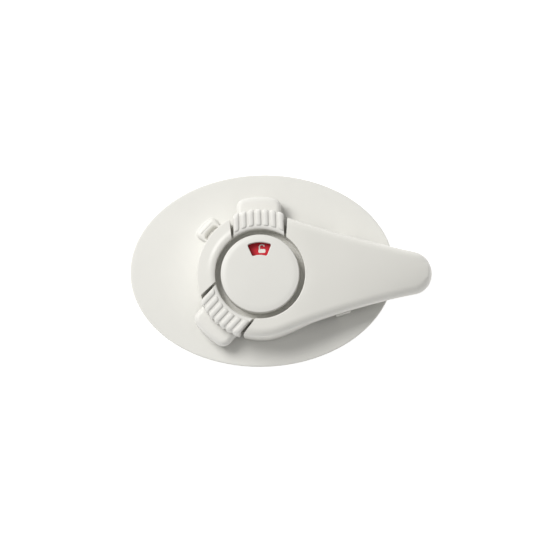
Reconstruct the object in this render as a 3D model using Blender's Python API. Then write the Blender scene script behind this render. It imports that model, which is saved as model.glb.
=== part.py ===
"""Appliance latch: an oval base with a swinging arm and two squeeze buttons.

Metres, +Z up. The latch lies on its adhesive face at z = 0, the hub axis is the
Z axis, and the arm at rest points along +X, its unlocked position. It locks at
-90 degrees. Heights and radii below are measured from the adhesive face and
from the hub axis.
"""

import math

import bmesh
import bpy
from mathutils import Matrix, Vector

MM = 0.001

# Clearances
SEAT_GAP = 0.3 * MM
SLIDE_GAP = 0.4 * MM

# Adhesive pad
PAD_THICKNESS = 1.0 * MM
PAD_INSET = 1.6 * MM

# Base plate
BASE_LENGTH = 128.0 * MM
BASE_WIDTH = 93.7 * MM
BASE_OFFSET_X = 0.4 * MM
BASE_OFFSET_Y = 3.9 * MM
FLANGE_THICKNESS = 2.2 * MM
FLANGE_ROUNDING = 0.6 * MM
FLARE_RADIUS = 47.0 * MM
FLARE_HEIGHT = 0.9 * MM
DECK_RADIUS = 31.0 * MM
CORE_DEPTH = 2.0 * MM
CORE_COUNT = 12
CORE_RIB = 1.8 * MM

# Centre post and pivot
POST_RADIUS = 8.0 * MM
POST_HEIGHT = 12.6 * MM
POST_BORE = 5.5 * MM
POST_ROOF = 3.5 * MM
BUSH_WALL = 0.9 * MM
BUSH_FLANGE_RADIUS = 13.0 * MM
BUSH_FLANGE_THICKNESS = 0.8 * MM
SLEEVE_WALL = 2.5 * MM
WASHER_THICKNESS = 0.4 * MM
WASHER_WAVE = 0.3 * MM
WASHER_WAVES = 3
RETAINER_RADIUS = 12.4 * MM
RETAINER_THICKNESS = 1.0 * MM
PIVOT_SHANK = 1.9 * MM
PIVOT_HEAD_RADIUS = 3.8 * MM
PIVOT_HEAD_HEIGHT = 2.4 * MM
PIVOT_THREAD_IN_CAP = 3.4 * MM

# Catch blocks on the base, at the places of the two buttons in both arm positions
BLOCK_INNER_RADIUS = 31.8 * MM
BLOCK_OUTER_RADIUS = 38.4 * MM
BLOCK_WIDTH = 10.6 * MM
BLOCK_TOP = 7.0 * MM
BLOCK_ROUNDING = 1.7 * MM
POCKET_DEPTH = 1.9 * MM
POCKET_WIDTH = 7.7 * MM

# Ring and arm shell
RING_RADIUS = 30.4 * MM
OPENING_RADIUS = 21.75 * MM
RING_TOP = 24.0 * MM
RING_FALL = 0.55 * MM
SKIRT_BOTTOM = 4.9 * MM
SHELL_WALL = 2.0 * MM
EDGE_ROUNDING = 4.0 * MM
OPENING_ROUNDING = 0.4 * MM
DISH_FLOOR = 19.0 * MM
DISH_FLOOR_THICKNESS = 1.6 * MM
DISH_HOLE_RADIUS = 14.5 * MM
DISH_LAND_RADIUS = 17.0 * MM
GROOVE_FLOOR = 15.6 * MM
GROOVE_THICKNESS = 1.3 * MM
LIP_EASE = 2.2 * MM
LIP_EASE_DROP = 1.0 * MM
LIP_WIDTH = 2.1 * MM
LIP_DROP = 0.25 * MM
LIP_SLOPE = 0.085
ARM_REACH = 82.6 * MM
ARM_DROOP = 11.2 * MM
ARM_CROWN = 1.6 * MM
NECK_ANGLE = 70.0
GRIP_FROM_TIP = 7.8 * MM
GRIP_HALF_WIDTH = 10.3 * MM
ARM_RIM_ROOT = 9.6 * MM
ARM_RIM_TIP = 6.2 * MM
FOOT_FROM_RING = 9.1 * MM
FOOT_LENGTH = 7.0 * MM
FOOT_BOTTOM = 4.1 * MM
ARM_RIB_THICKNESS = 1.4 * MM
ARM_RIB_DEPTH = 4.5 * MM
COVER_THICKNESS = 1.6 * MM
COVER_FROM_RING = 1.2 * MM
COVER_SCREW_FROM_RING = 12.6 * MM
COVER_SCREW_FROM_TIP = 16.8 * MM
ARM_BOSS_RADIUS = 2.8 * MM

# Hub carrier
CARRIER_THICKNESS = 1.8 * MM
CARRIER_SCREW_RADIUS = 25.2 * MM
CARRIER_SCREW_ANGLES = (159.0, 35.0, -35.0)
RING_BOSS_RADIUS = 2.6 * MM
SCREW_SHANK = 1.2 * MM
SCREW_HEAD = 2.3 * MM
SCREW_LENGTH = 8.0 * MM
SCREW_HEAD_HEIGHT = 1.3 * MM

# Squeeze buttons: directions from the hub at rest, and travel
BUTTON_ANGLES = {"upper": 90.0, "lower": 226.5}
LOCK_TURN = -90.0
TRAVEL_IN = 2.0 * MM
TRAVEL_OUT = 1.5 * MM
BUTTON_HALF_WIDTH = 12.2 * MM
SLOT_CLEARANCE = 1.7 * MM
SLOT_TAPER = 4.5
BUTTON_RADIUS = 32.1 * MM
BUTTON_PLATE = 4.7 * MM
RIB_COUNT = 7
RIB_PITCH = 3.57 * MM
RIB_HEIGHT = 0.8 * MM
RIB_WIDTH = 2.6 * MM
RIB_INNER_RADIUS = 23.5 * MM
WEB_THICKNESS = 5.2 * MM
RAIL_INNER = 6.4 * MM
RAIL_OUTER = 9.2 * MM
RAIL_HEIGHT = 6.0 * MM
RAIL_END = 15.0 * MM
RAIL_HOOK = 1.5 * MM
RAIL_HOOK_REACH = 1.3 * MM
GUIDE_WALL = 1.4 * MM
LUG_RADIUS = 38.5 * MM
LUG_HALF_WIDTH = 10.5 * MM
LUG_HEIGHT = 6.0 * MM
LUG_ROUNDING = 1.9 * MM
LUG_CORNER = 3.4 * MM
TOOTH_WIDTH = 7.0 * MM
TOOTH_DEPTH = 3.0 * MM
TOOTH_LENGTH = 2.6 * MM

# Button springs
WIRE_RADIUS = 0.35 * MM
COIL_RADIUS = 2.1 * MM
COIL_TURNS = 7
COIL_POINTS = 9
PIN_RADIUS = 1.2 * MM
PIN_LENGTH = 2.6 * MM

# Dial cap, window and indicator
CAP_RADIUS = 19.0 * MM
CAP_WALL = 1.5 * MM
CAP_TOP_THICKNESS = 2.0 * MM
CAP_RISE = 0.7 * MM
CAP_DOME = 0.3 * MM
CAP_SHOULDER = 0.3 * MM
CAP_SHOULDER_WIDTH = 2.6 * MM
CAP_ROUNDING = 0.7 * MM
CAP_STEM_RADIUS = 4.2 * MM
WINDOW_INNER = 9.0 * MM
WINDOW_OUTER = 15.2 * MM
WINDOW_ANGLE = 90.0
WINDOW_HALF_ANGLE = 22.5
WINDOW_CORNER = 0.9 * MM
DISC_RADIUS = 16.8 * MM
DISC_THICKNESS = 1.0 * MM
LABEL_INNER = 7.6 * MM
LABEL_OUTER = 16.4 * MM
LABEL_HALF_ANGLE = 44.0
LABEL_THICKNESS = 0.3 * MM
KEY_ANGLES = (255.0, 315.0, 15.0)
KEY_WIDTH = 2.4 * MM
KEY_DEPTH = 1.6 * MM

# Heights that follow from the sizes above
BASE_BOTTOM = PAD_THICKNESS + SEAT_GAP
FLANGE_TOP = BASE_BOTTOM + FLANGE_THICKNESS
DECK_TOP = FLANGE_TOP + FLARE_HEIGHT
POST_TOP = DECK_TOP + POST_HEIGHT
BUSH_BOTTOM = DECK_TOP + SEAT_GAP
CARRIER_BOTTOM = BUSH_BOTTOM + BUSH_FLANGE_THICKNESS + SEAT_GAP
CARRIER_TOP = CARRIER_BOTTOM + CARRIER_THICKNESS
BUTTON_FLOOR = CARRIER_TOP + SEAT_GAP
RETAINER_BOTTOM = POST_TOP + SEAT_GAP
RETAINER_TOP = RETAINER_BOTTOM + RETAINER_THICKNESS
WASHER_TOP = RETAINER_BOTTOM - SEAT_GAP
SLEEVE_TOP = WASHER_TOP - WASHER_THICKNESS - 2.0 * WASHER_WAVE - SEAT_GAP
DISC_BOTTOM = DISH_FLOOR + SEAT_GAP
DISC_TOP = DISC_BOTTOM + DISC_THICKNESS
LABEL_BOTTOM = DISC_TOP + SEAT_GAP
DISH_UNDERSIDE = DISH_FLOOR - DISH_FLOOR_THICKNESS
GROOVE_UNDERSIDE = GROOVE_FLOOR - GROOVE_THICKNESS
BUTTON_PLATE_BOTTOM = RING_TOP - BUTTON_PLATE
LUG_TOP = BUTTON_FLOOR + LUG_HEIGHT

# Places along the arm that follow
GRIP_X = ARM_REACH - GRIP_FROM_TIP
FOOT_X = RING_RADIUS + FOOT_FROM_RING
COVER_START_X = RING_RADIUS + COVER_FROM_RING
COVER_SCREW_X = (RING_RADIUS + COVER_SCREW_FROM_RING, ARM_REACH - COVER_SCREW_FROM_TIP)

# Radii that follow
BUSH_INNER = POST_RADIUS + SEAT_GAP
BUSH_OUTER = BUSH_INNER + BUSH_WALL
SLEEVE_INNER = BUSH_OUTER + SEAT_GAP
SLEEVE_OUTER = SLEEVE_INNER + SLEEVE_WALL
SKIRT_INNER = RING_RADIUS - SHELL_WALL
CARRIER_RADIUS = SKIRT_INNER - SLIDE_GAP
OPENING_WALL_OUTER = OPENING_RADIUS + SHELL_WALL * 0.9
WEB_INNER = BUTTON_RADIUS - WEB_THICKNESS
SLOT_MIDDLE = (OPENING_RADIUS + RING_RADIUS) / 2.0
TOOTH_OUTER = BLOCK_INNER_RADIUS - SEAT_GAP
TOOTH_INNER = TOOTH_OUTER - TOOTH_LENGTH
GUIDE_END = WEB_INNER - TRAVEL_IN - SEAT_GAP
GUIDE_START = RAIL_END + RAIL_HOOK + TRAVEL_OUT + SEAT_GAP
GUIDE_INNER = RAIL_OUTER + SLIDE_GAP
SPRING_HEIGHT = BUTTON_FLOOR + RAIL_HEIGHT * 0.5

# Colours
WARM_WHITE = (0.80, 0.79, 0.74)
BASE_WHITE = (0.82, 0.81, 0.76)
FOAM_GREY = (0.62, 0.62, 0.60)
ACETAL = (0.74, 0.73, 0.68)
ZINC = (0.62, 0.62, 0.63)
SPRING_STEEL = (0.50, 0.50, 0.52)
RED = (0.55, 0.012, 0.025)
GREEN = (0.03, 0.33, 0.09)


def clear_scene():
    for item in list(bpy.data.objects):
        bpy.data.objects.remove(item, do_unlink=True)


def material(name, colour, roughness, metallic=0.0):
    """A plain Principled BSDF material."""
    made = bpy.data.materials.new(name)
    made.use_nodes = True
    shader = made.node_tree.nodes["Principled BSDF"]
    shader.inputs["Base Color"].default_value = (*colour, 1.0)
    shader.inputs["Roughness"].default_value = roughness
    shader.inputs["Metallic"].default_value = metallic
    return made


def polar(radius, degrees, z=0.0):
    angle = math.radians(degrees)
    return Vector((radius * math.cos(angle), radius * math.sin(angle), z))


def spread(low, high, steps):
    """Evenly spaced values from low to high, both included."""
    return [low + (high - low) * index / steps for index in range(steps + 1)]


def smooth_step(value):
    value = min(max(value, 0.0), 1.0)
    return value * value * (3.0 - 2.0 * value)


def finish_mesh(name, mesh, finish=None, sharp=35.0):
    """Turn a bmesh into a named, smooth-shaded object with outward faces."""
    bmesh.ops.recalc_face_normals(mesh, faces=mesh.faces[:])
    data = bpy.data.meshes.new(name)
    mesh.to_mesh(data)
    mesh.free()
    data.shade_smooth()
    data.set_sharp_from_angle(angle=math.radians(sharp))
    made = bpy.data.objects.new(name, data)
    bpy.context.scene.collection.objects.link(made)
    if finish is not None:
        data.materials.append(finish)
    return made


def add_loft(mesh, sections, ring=False):
    """Skin closed sections with equal point counts; ends are capped unless it is a ring."""
    loops = [[mesh.verts.new(point) for point in section] for section in sections]
    pairs = list(zip(loops, loops[1:]))
    if ring:
        pairs.append((loops[-1], loops[0]))
    for first, second in pairs:
        count = len(first)
        for index in range(count):
            after = (index + 1) % count
            mesh.faces.new((first[index], first[after], second[after], second[index]))
    if not ring:
        mesh.faces.new(loops[0])
        mesh.faces.new(list(reversed(loops[-1])))


def add_prism(mesh, outline, bottom, top):
    """Extrude a flat outline of (x, y) points from bottom to top."""
    corners = [mesh.verts.new((x, y, bottom)) for x, y in outline]
    face = mesh.faces.new(corners)
    grown = bmesh.ops.extrude_face_region(mesh, geom=[face])
    raised = [item for item in grown["geom"] if isinstance(item, bmesh.types.BMVert)]
    bmesh.ops.translate(mesh, verts=raised, vec=(0.0, 0.0, top - bottom))
    return raised


def bevel_rim(mesh, raised, size, steps, skip=()):
    """Round the edges between the raised corners of a prism."""
    corners = set(raised)
    edges = {edge for corner in corners for edge in corner.link_edges
             if set(edge.verts) <= corners and edge not in skip}
    bmesh.ops.bevel(mesh, geom=list(edges), offset=size, segments=steps, profile=0.5,
                    affect="EDGES")


def add_turned(mesh, profile, steps):
    """Spin a closed (radius, z) profile about Z; points on the axis are merged."""
    corners = [mesh.verts.new((radius, 0.0, z)) for radius, z in profile]
    edges = [mesh.edges.new((corners[i], corners[(i + 1) % len(corners)]))
             for i in range(len(corners))]
    on_axis = [edge for edge in edges if all(v.co.x < 1e-7 for v in edge.verts)]
    bmesh.ops.delete(mesh, geom=on_axis, context="EDGES_FACES")
    kept = [v for v in corners if v.is_valid]
    kept_edges = [edge for edge in edges if edge.is_valid]
    bmesh.ops.spin(mesh, geom=kept + kept_edges, cent=(0.0, 0.0, 0.0), axis=(0.0, 0.0, 1.0),
                   angle=math.tau, steps=steps, use_merge=True, use_duplicate=False)
    bmesh.ops.remove_doubles(mesh, verts=mesh.verts[:], dist=1e-6)


def turned(name, profile, steps, finish=None):
    mesh = bmesh.new()
    add_turned(mesh, profile, steps)
    return finish_mesh(name, mesh, finish)


def sector_outline(inner, outer, half_angle, steps, middle=0.0):
    """A ring sector as (x, y) points."""
    angles = spread(middle - half_angle, middle + half_angle, steps)
    far = [polar(outer, angle).xy for angle in angles]
    near = [polar(inner, angle).xy for angle in reversed(angles)]
    return far + near


def rounded_outline(corners, sizes, steps=3):
    """Round the corners of an outline; a size of zero keeps a corner as it is."""
    rounded = []
    count = len(corners)
    for index, corner in enumerate(corners):
        corner = Vector(corner)
        if sizes[index] == 0.0:
            rounded.append(corner)
            continue
        before = (Vector(corners[index - 1]) - corner).normalized()
        after = (Vector(corners[(index + 1) % count]) - corner).normalized()
        start = corner + before * sizes[index]
        end = corner + after * sizes[index]
        for t in spread(0.0, 1.0, steps):
            rounded.append(start * (1 - t) ** 2 + corner * 2 * t * (1 - t) + end * t ** 2)
    return rounded


def take_in(mesh, part, turn=Matrix.Identity(4)):
    """Move a finished small mesh into a larger one, turned to its place."""
    bmesh.ops.recalc_face_normals(part, faces=part.faces[:])
    bmesh.ops.transform(part, matrix=turn, verts=part.verts[:])
    data = bpy.data.meshes.new("small_part")
    part.to_mesh(data)
    part.free()
    mesh.from_mesh(data)
    bpy.data.meshes.remove(data)


def box_outline(x_low, x_high, y_low, y_high):
    return [(x_low, y_low), (x_high, y_low), (x_high, y_high), (x_low, y_high)]


def tool(name, mesh):
    """A cutter or an addition that only shapes another piece."""
    made = finish_mesh(name, mesh)
    made.hide_render = True
    made.display_type = "WIRE"
    return made


def combine(target, other, operation):
    step = target.modifiers.new(other.name, "BOOLEAN")
    step.operation = operation
    step.object = other
    step.solver = "EXACT"


def settle(target, sharp=35.0):
    """Apply the cuts and joins of a piece, drop their tools and mark its crisp edges."""
    tools = [step.object for step in target.modifiers]
    graph = bpy.context.evaluated_depsgraph_get()
    data = bpy.data.meshes.new_from_object(target.evaluated_get(graph))
    data.name = target.name
    target.modifiers.clear()
    target.data = data
    for used in tools:
        bpy.data.objects.remove(used, do_unlink=True)
    data.shade_smooth()
    data.set_sharp_from_angle(angle=math.radians(sharp))
    return target


def turn_to(angle):
    return Matrix.Rotation(math.radians(angle), 4, "Z")


def bezier(start, first, second, end, t):
    s = 1.0 - t
    return (start * s ** 3 + first * (3.0 * s * s * t)
            + second * (3.0 * s * t * t) + end * t ** 3)


# Adhesive pad and base

def ellipse_radius(degrees, inset=0.0):
    """Distance from the hub axis to the oval's edge in one direction."""
    half_length = BASE_LENGTH / 2.0 - inset
    half_width = BASE_WIDTH / 2.0 - inset
    direction = polar(1.0, degrees)
    a = (direction.x / half_length) ** 2 + (direction.y / half_width) ** 2
    b = -(direction.x * BASE_OFFSET_X / half_length ** 2
          + direction.y * BASE_OFFSET_Y / half_width ** 2)
    c = (BASE_OFFSET_X / half_length) ** 2 + (BASE_OFFSET_Y / half_width) ** 2 - 1.0
    return (-b + math.sqrt(b * b - a * c)) / a


def flare_height(radius):
    """Height of the base's top above its flange: a soft concave rise to the hub."""
    rise = min(max((FLARE_RADIUS - radius) / (FLARE_RADIUS - DECK_RADIUS), 0.0), 1.0)
    return FLARE_HEIGHT * rise ** 2.2


def make_adhesive_pad(finish):
    mesh = bmesh.new()
    outline = [polar(ellipse_radius(angle, PAD_INSET), angle).xy
               for angle in spread(0.0, 360.0, 72)[:-1]]
    add_prism(mesh, outline, 0.0, PAD_THICKNESS)
    return finish_mesh("adhesive_pad", mesh, finish)


def base_section(angle):
    """Radial section of the base at one angle: hollow post, deck, flare and edge."""
    edge = ellipse_radius(angle)
    chamfer = FLANGE_ROUNDING * 0.4
    side_top = FLANGE_TOP - FLANGE_ROUNDING
    roof = POST_TOP - POST_ROOF
    screw_hole = PIVOT_SHANK + SEAT_GAP
    points = [
        (screw_hole, POST_TOP),
        (screw_hole, roof),
        (POST_BORE, roof),
        (POST_BORE, BASE_BOTTOM),
        (edge - chamfer, BASE_BOTTOM),
        (edge, BASE_BOTTOM + chamfer),
        (edge, side_top),
        (edge - FLANGE_ROUNDING * 0.3, side_top + FLANGE_ROUNDING * 0.7),
    ]
    flat_start = edge - FLANGE_ROUNDING
    for share in (1.0, 0.55, 0.34, 0.18, 0.0):
        radius = DECK_RADIUS + (flat_start - DECK_RADIUS) * share
        points.append((radius, FLANGE_TOP + flare_height(radius)))
    points += [
        (POST_RADIUS + 0.8 * MM, DECK_TOP),
        (POST_RADIUS, DECK_TOP + 0.8 * MM),
        (POST_RADIUS, POST_TOP - 0.5 * MM),
        (POST_RADIUS - 0.5 * MM, POST_TOP),
    ]
    return [polar(radius, angle, z) for radius, z in points]


def make_core_pockets():
    """Pockets in the underside that leave radial ribs."""
    mesh = bmesh.new()
    outer = DECK_RADIUS - 3.0 * MM
    inner = POST_RADIUS + 3.0 * MM
    pitch = 360.0 / CORE_COUNT
    for index in range(CORE_COUNT):
        middle = pitch * (index + 0.5)
        far_half = pitch / 2.0 - math.degrees(CORE_RIB / 2.0 / outer)
        near_half = pitch / 2.0 - math.degrees(CORE_RIB / 2.0 / inner)
        far = [polar(outer, middle + far_half * t).xy for t in spread(-1.0, 1.0, 2)]
        near = [polar(inner, middle + near_half * t).xy for t in spread(1.0, -1.0, 1)]
        add_prism(mesh, far + near, BASE_BOTTOM - 1.0 * MM, BASE_BOTTOM + CORE_DEPTH)
    return tool("core_pockets", mesh)


def block_outline():
    """Outline of a catch block with its concave pocket; the flag marks the hub side."""
    half = math.asin(BLOCK_WIDTH / 2.0 / BLOCK_INNER_RADIUS)
    lip = math.asin(POCKET_WIDTH / 2.0 / BLOCK_INNER_RADIUS)
    far = [polar(BLOCK_OUTER_RADIUS, math.degrees(half) * t).xy for t in spread(-1.0, 1.0, 4)]
    near = [polar(BLOCK_INNER_RADIUS, math.degrees(half)).xy,
            polar(BLOCK_INNER_RADIUS, math.degrees(lip)).xy]
    back = BLOCK_INNER_RADIUS + POCKET_DEPTH
    for t in spread(0.92, -0.92, 4):
        near.append(Vector((back - 0.7 * MM * t * t, POCKET_WIDTH / 2.0 * t)))
    near.append(polar(BLOCK_INNER_RADIUS, -math.degrees(lip)).xy)
    near.append(polar(BLOCK_INNER_RADIUS, -math.degrees(half)).xy)
    sizes = [0.0] * (len(far) + len(near))
    sizes[0] = sizes[4] = BLOCK_ROUNDING * 1.4
    outline = rounded_outline(far + near, sizes, 3)
    limit = BLOCK_INNER_RADIUS + POCKET_DEPTH + 0.1 * MM
    return outline, [point.length < limit for point in outline]


def make_catch_blocks():
    """Four rounded blocks, one for each button in each arm position."""
    outline, hub_side = block_outline()
    count = len(outline)
    outward = []
    for index in range(count):
        along = outline[(index + 1) % count] - outline[index - 1]
        outward.append(Vector((along.y, -along.x)).normalized())
    levels = [(0.0, FLANGE_TOP - 0.6 * MM), (0.0, BLOCK_TOP - BLOCK_ROUNDING)]
    for turn in (35.0, 62.0, 90.0):
        inset = BLOCK_ROUNDING * (1.0 - math.cos(math.radians(turn)))
        rise = BLOCK_ROUNDING * math.sin(math.radians(turn))
        levels.append((inset, BLOCK_TOP - BLOCK_ROUNDING + rise))
    sections = []
    for inset, z in levels:
        section = []
        for point, away, inner in zip(outline, outward, hub_side):
            spot = point - away * min(inset, 0.25 * MM if inner else inset)
            section.append(Vector((spot.x, spot.y, z)))
        sections.append(section)
    mesh = bmesh.new()
    for start in BUTTON_ANGLES.values():
        for angle in (start, start + LOCK_TURN):
            block = bmesh.new()
            add_loft(block, sections)
            take_in(mesh, block, turn_to(angle))
    return tool("catch_blocks", mesh)


def make_base_plate(finish):
    mesh = bmesh.new()
    add_loft(mesh, [base_section(angle) for angle in spread(0.0, 360.0, 60)[:-1]], ring=True)
    base = finish_mesh("base_plate", mesh, finish)
    combine(base, make_catch_blocks(), "UNION")
    combine(base, make_core_pockets(), "DIFFERENCE")
    return settle(base)


# Pivot

def make_pivot_bush(finish):
    top = SLEEVE_TOP - SEAT_GAP
    flange_top = BUSH_BOTTOM + BUSH_FLANGE_THICKNESS
    profile = [
        (BUSH_INNER, BUSH_BOTTOM + 0.9 * MM),
        (BUSH_INNER + 0.9 * MM, BUSH_BOTTOM),
        (BUSH_FLANGE_RADIUS, BUSH_BOTTOM),
        (BUSH_FLANGE_RADIUS, flange_top),
        (BUSH_OUTER, flange_top),
        (BUSH_OUTER, top),
        (BUSH_INNER, top),
    ]
    return turned("pivot_bush", profile, 32, finish)


def make_wave_washer(finish):
    """A flat ring that rises and falls three times around its edge."""
    inner = BUSH_OUTER + SLIDE_GAP
    outer = SLEEVE_OUTER - 0.2 * MM
    middle = WASHER_TOP - WASHER_THICKNESS - WASHER_WAVE
    sections = []
    for angle in spread(0.0, 360.0, 36)[:-1]:
        z = middle + WASHER_WAVE * math.cos(math.radians(angle * WASHER_WAVES))
        sections.append([
            polar(inner, angle, z),
            polar(outer, angle, z),
            polar(outer, angle, z + WASHER_THICKNESS),
            polar(inner, angle, z + WASHER_THICKNESS),
        ])
    mesh = bmesh.new()
    add_loft(mesh, sections, ring=True)
    return finish_mesh("wave_washer", mesh, finish)


def make_retainer_plate(finish):
    edge = 0.2 * MM
    hole = PIVOT_SHANK + SEAT_GAP
    profile = [
        (hole, RETAINER_BOTTOM),
        (RETAINER_RADIUS - edge, RETAINER_BOTTOM),
        (RETAINER_RADIUS, RETAINER_BOTTOM + edge),
        (RETAINER_RADIUS, RETAINER_TOP - edge),
        (RETAINER_RADIUS - edge, RETAINER_TOP),
        (hole, RETAINER_TOP),
    ]
    return turned("retainer_plate", profile, 32, finish)


def add_cross_recess(mesh, x, y, face, depth, reach, width):
    """A plus-shaped recess cutter below a screw head that faces down."""
    half = width / 2.0
    outline = [(reach, -half), (reach, half), (half, half), (half, reach),
               (-half, reach), (-half, half), (-reach, half), (-reach, -half),
               (-half, -half), (-half, -reach), (half, -reach), (half, -half)]
    add_prism(mesh, [(x + a, y + b) for a, b in outline], face - 0.5 * MM, face + depth)


def make_pivot_screw(finish):
    """Pan-head screw from below, through the post's roof into the cap's stem."""
    head_top = POST_TOP - POST_ROOF - SEAT_GAP
    head_bottom = head_top - PIVOT_HEAD_HEIGHT
    end = RETAINER_TOP + SEAT_GAP + PIVOT_THREAD_IN_CAP
    profile = [
        (0.0, head_bottom),
        (PIVOT_HEAD_RADIUS * 0.6, head_bottom),
        (PIVOT_HEAD_RADIUS * 0.92, head_bottom + 0.5 * MM),
        (PIVOT_HEAD_RADIUS, head_bottom + 1.2 * MM),
        (PIVOT_HEAD_RADIUS, head_top),
        (PIVOT_SHANK, head_top),
        (PIVOT_SHANK, end - 0.8 * MM),
        (PIVOT_SHANK * 0.5, end),
        (0.0, end),
    ]
    screw = turned("pivot_screw", profile, 20, finish)
    mesh = bmesh.new()
    add_cross_recess(mesh, 0.0, 0.0, head_bottom, 1.4 * MM, PIVOT_HEAD_RADIUS * 0.5, 0.9 * MM)
    combine(screw, tool("pivot_recess", mesh), "DIFFERENCE")
    return settle(screw)


# Arm and ring shell

def arm_top(x, y):
    """Height of the top: it falls away from the opening and droops to the tip."""
    along = min(max((x - 20.0 * MM) / (ARM_REACH - 20.0 * MM), 0.0), 1.0)
    fall = smooth_step((math.hypot(x, y) - OPENING_RADIUS) / (16.0 * MM))
    crown = ARM_CROWN * smooth_step((x - 12.0 * MM) / (30.0 * MM))
    width = max(RING_RADIUS - 0.26 * max(x, 0.0), GRIP_HALF_WIDTH)
    return RING_TOP - RING_FALL * fall - ARM_DROOP * along ** 2.2 - crown * (y / width) ** 2


def arm_rim(x, radius):
    """Height of the shell's lower edge: low around the ring, clear of the blocks beyond."""
    along = min(max((x - DECK_RADIUS) / (ARM_REACH - DECK_RADIUS), 0.0), 1.0)
    arm = ARM_RIM_ROOT + (ARM_RIM_TIP - ARM_RIM_ROOT) * along
    blend = smooth_step((radius - RING_RADIUS) / (BLOCK_INNER_RADIUS - 0.4 * MM - RING_RADIUS))
    return SKIRT_BOTTOM + (arm - SKIRT_BOTTOM) * blend


def arm_outline():
    """Outline of ring and arm, counter-clockwise from the tip, with outward directions."""
    neck = polar(RING_RADIUS, NECK_ANGLE)
    leave = Vector((math.sin(math.radians(NECK_ANGLE)), -math.cos(math.radians(NECK_ANGLE)), 0.0))
    grip = Vector((GRIP_X, GRIP_HALF_WIDTH, 0.0))
    grip_slope = Vector((1.0, -0.21, 0.0)).normalized()
    reach = GRIP_X - neck.x
    flank = [bezier(neck, neck + leave * reach * 0.34, grip - grip_slope * reach * 0.38, grip, t)
             for t in spread(0.0, 1.0, 14)]
    tip = Vector((ARM_REACH, 0.0, 0.0))
    nose_width = GRIP_HALF_WIDTH * 0.58
    nose = [bezier(grip, grip + grip_slope * 4.6 * MM,
                   tip + Vector((0.0, nose_width, 0.0)), tip, t)
            for t in spread(0.0, 1.0, 8)]
    upper = flank[:-1] + nose
    upper_half = list(reversed(upper))
    ring = [polar(RING_RADIUS, angle)
            for angle in spread(NECK_ANGLE, 360.0 - NECK_ANGLE, 32)][1:-1]
    lower_half = [Vector((p.x, -p.y, 0.0)) for p in upper[:-1]]
    points = upper_half + ring + lower_half
    count = len(points)
    outward = []
    for index in range(count):
        along = points[(index + 1) % count] - points[index - 1]
        outward.append(Vector((along.y, -along.x, 0.0)).normalized())
    return points, outward


def opening_point(point):
    """The point of the ring opening that belongs to a point of the outline."""
    angle = math.degrees(math.atan2(point.y, point.x))
    if point.x > 0.0 and abs(angle) < NECK_ANGLE:
        progress = (point.x - RING_RADIUS * math.cos(math.radians(NECK_ANGLE)))
        progress /= ARM_REACH - RING_RADIUS * math.cos(math.radians(NECK_ANGLE))
        angle = math.copysign(NECK_ANGLE * (1.0 - min(progress, 1.0)) ** 1.25, angle)
        if progress > 0.9999:
            angle = 0.0
    return polar(1.0, angle)


def lip_profile(direction, angle):
    """Top of the ring's free segment: an eased lip, a band beside it and a flat zone."""
    fade = smooth_step((186.0 - angle) / 40.0)
    crest = OPENING_RADIUS + LIP_EASE
    edge = 0.3 * MM
    points = []
    for share in (0.0, 0.12, 0.36, 0.68, 1.0):
        rest = LIP_EASE_DROP * (1.0 - math.sqrt(1.0 - (1.0 - share) ** 2))
        points.append((OPENING_RADIUS + LIP_EASE * share, rest))
    for reach in (LIP_WIDTH * 0.5, LIP_WIDTH, RING_RADIUS - edge - crest):
        band = smooth_step(reach / LIP_WIDTH)
        points.append((crest + reach, LIP_SLOPE * reach + LIP_DROP * fade * band))
    low = points[-1][1]
    points.append((RING_RADIUS - edge * 0.3, low + edge * 0.3))
    points.append((RING_RADIUS, low + edge))
    return [direction * radius + Vector((0.0, 0.0, RING_TOP - drop)) for radius, drop in points]


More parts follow.
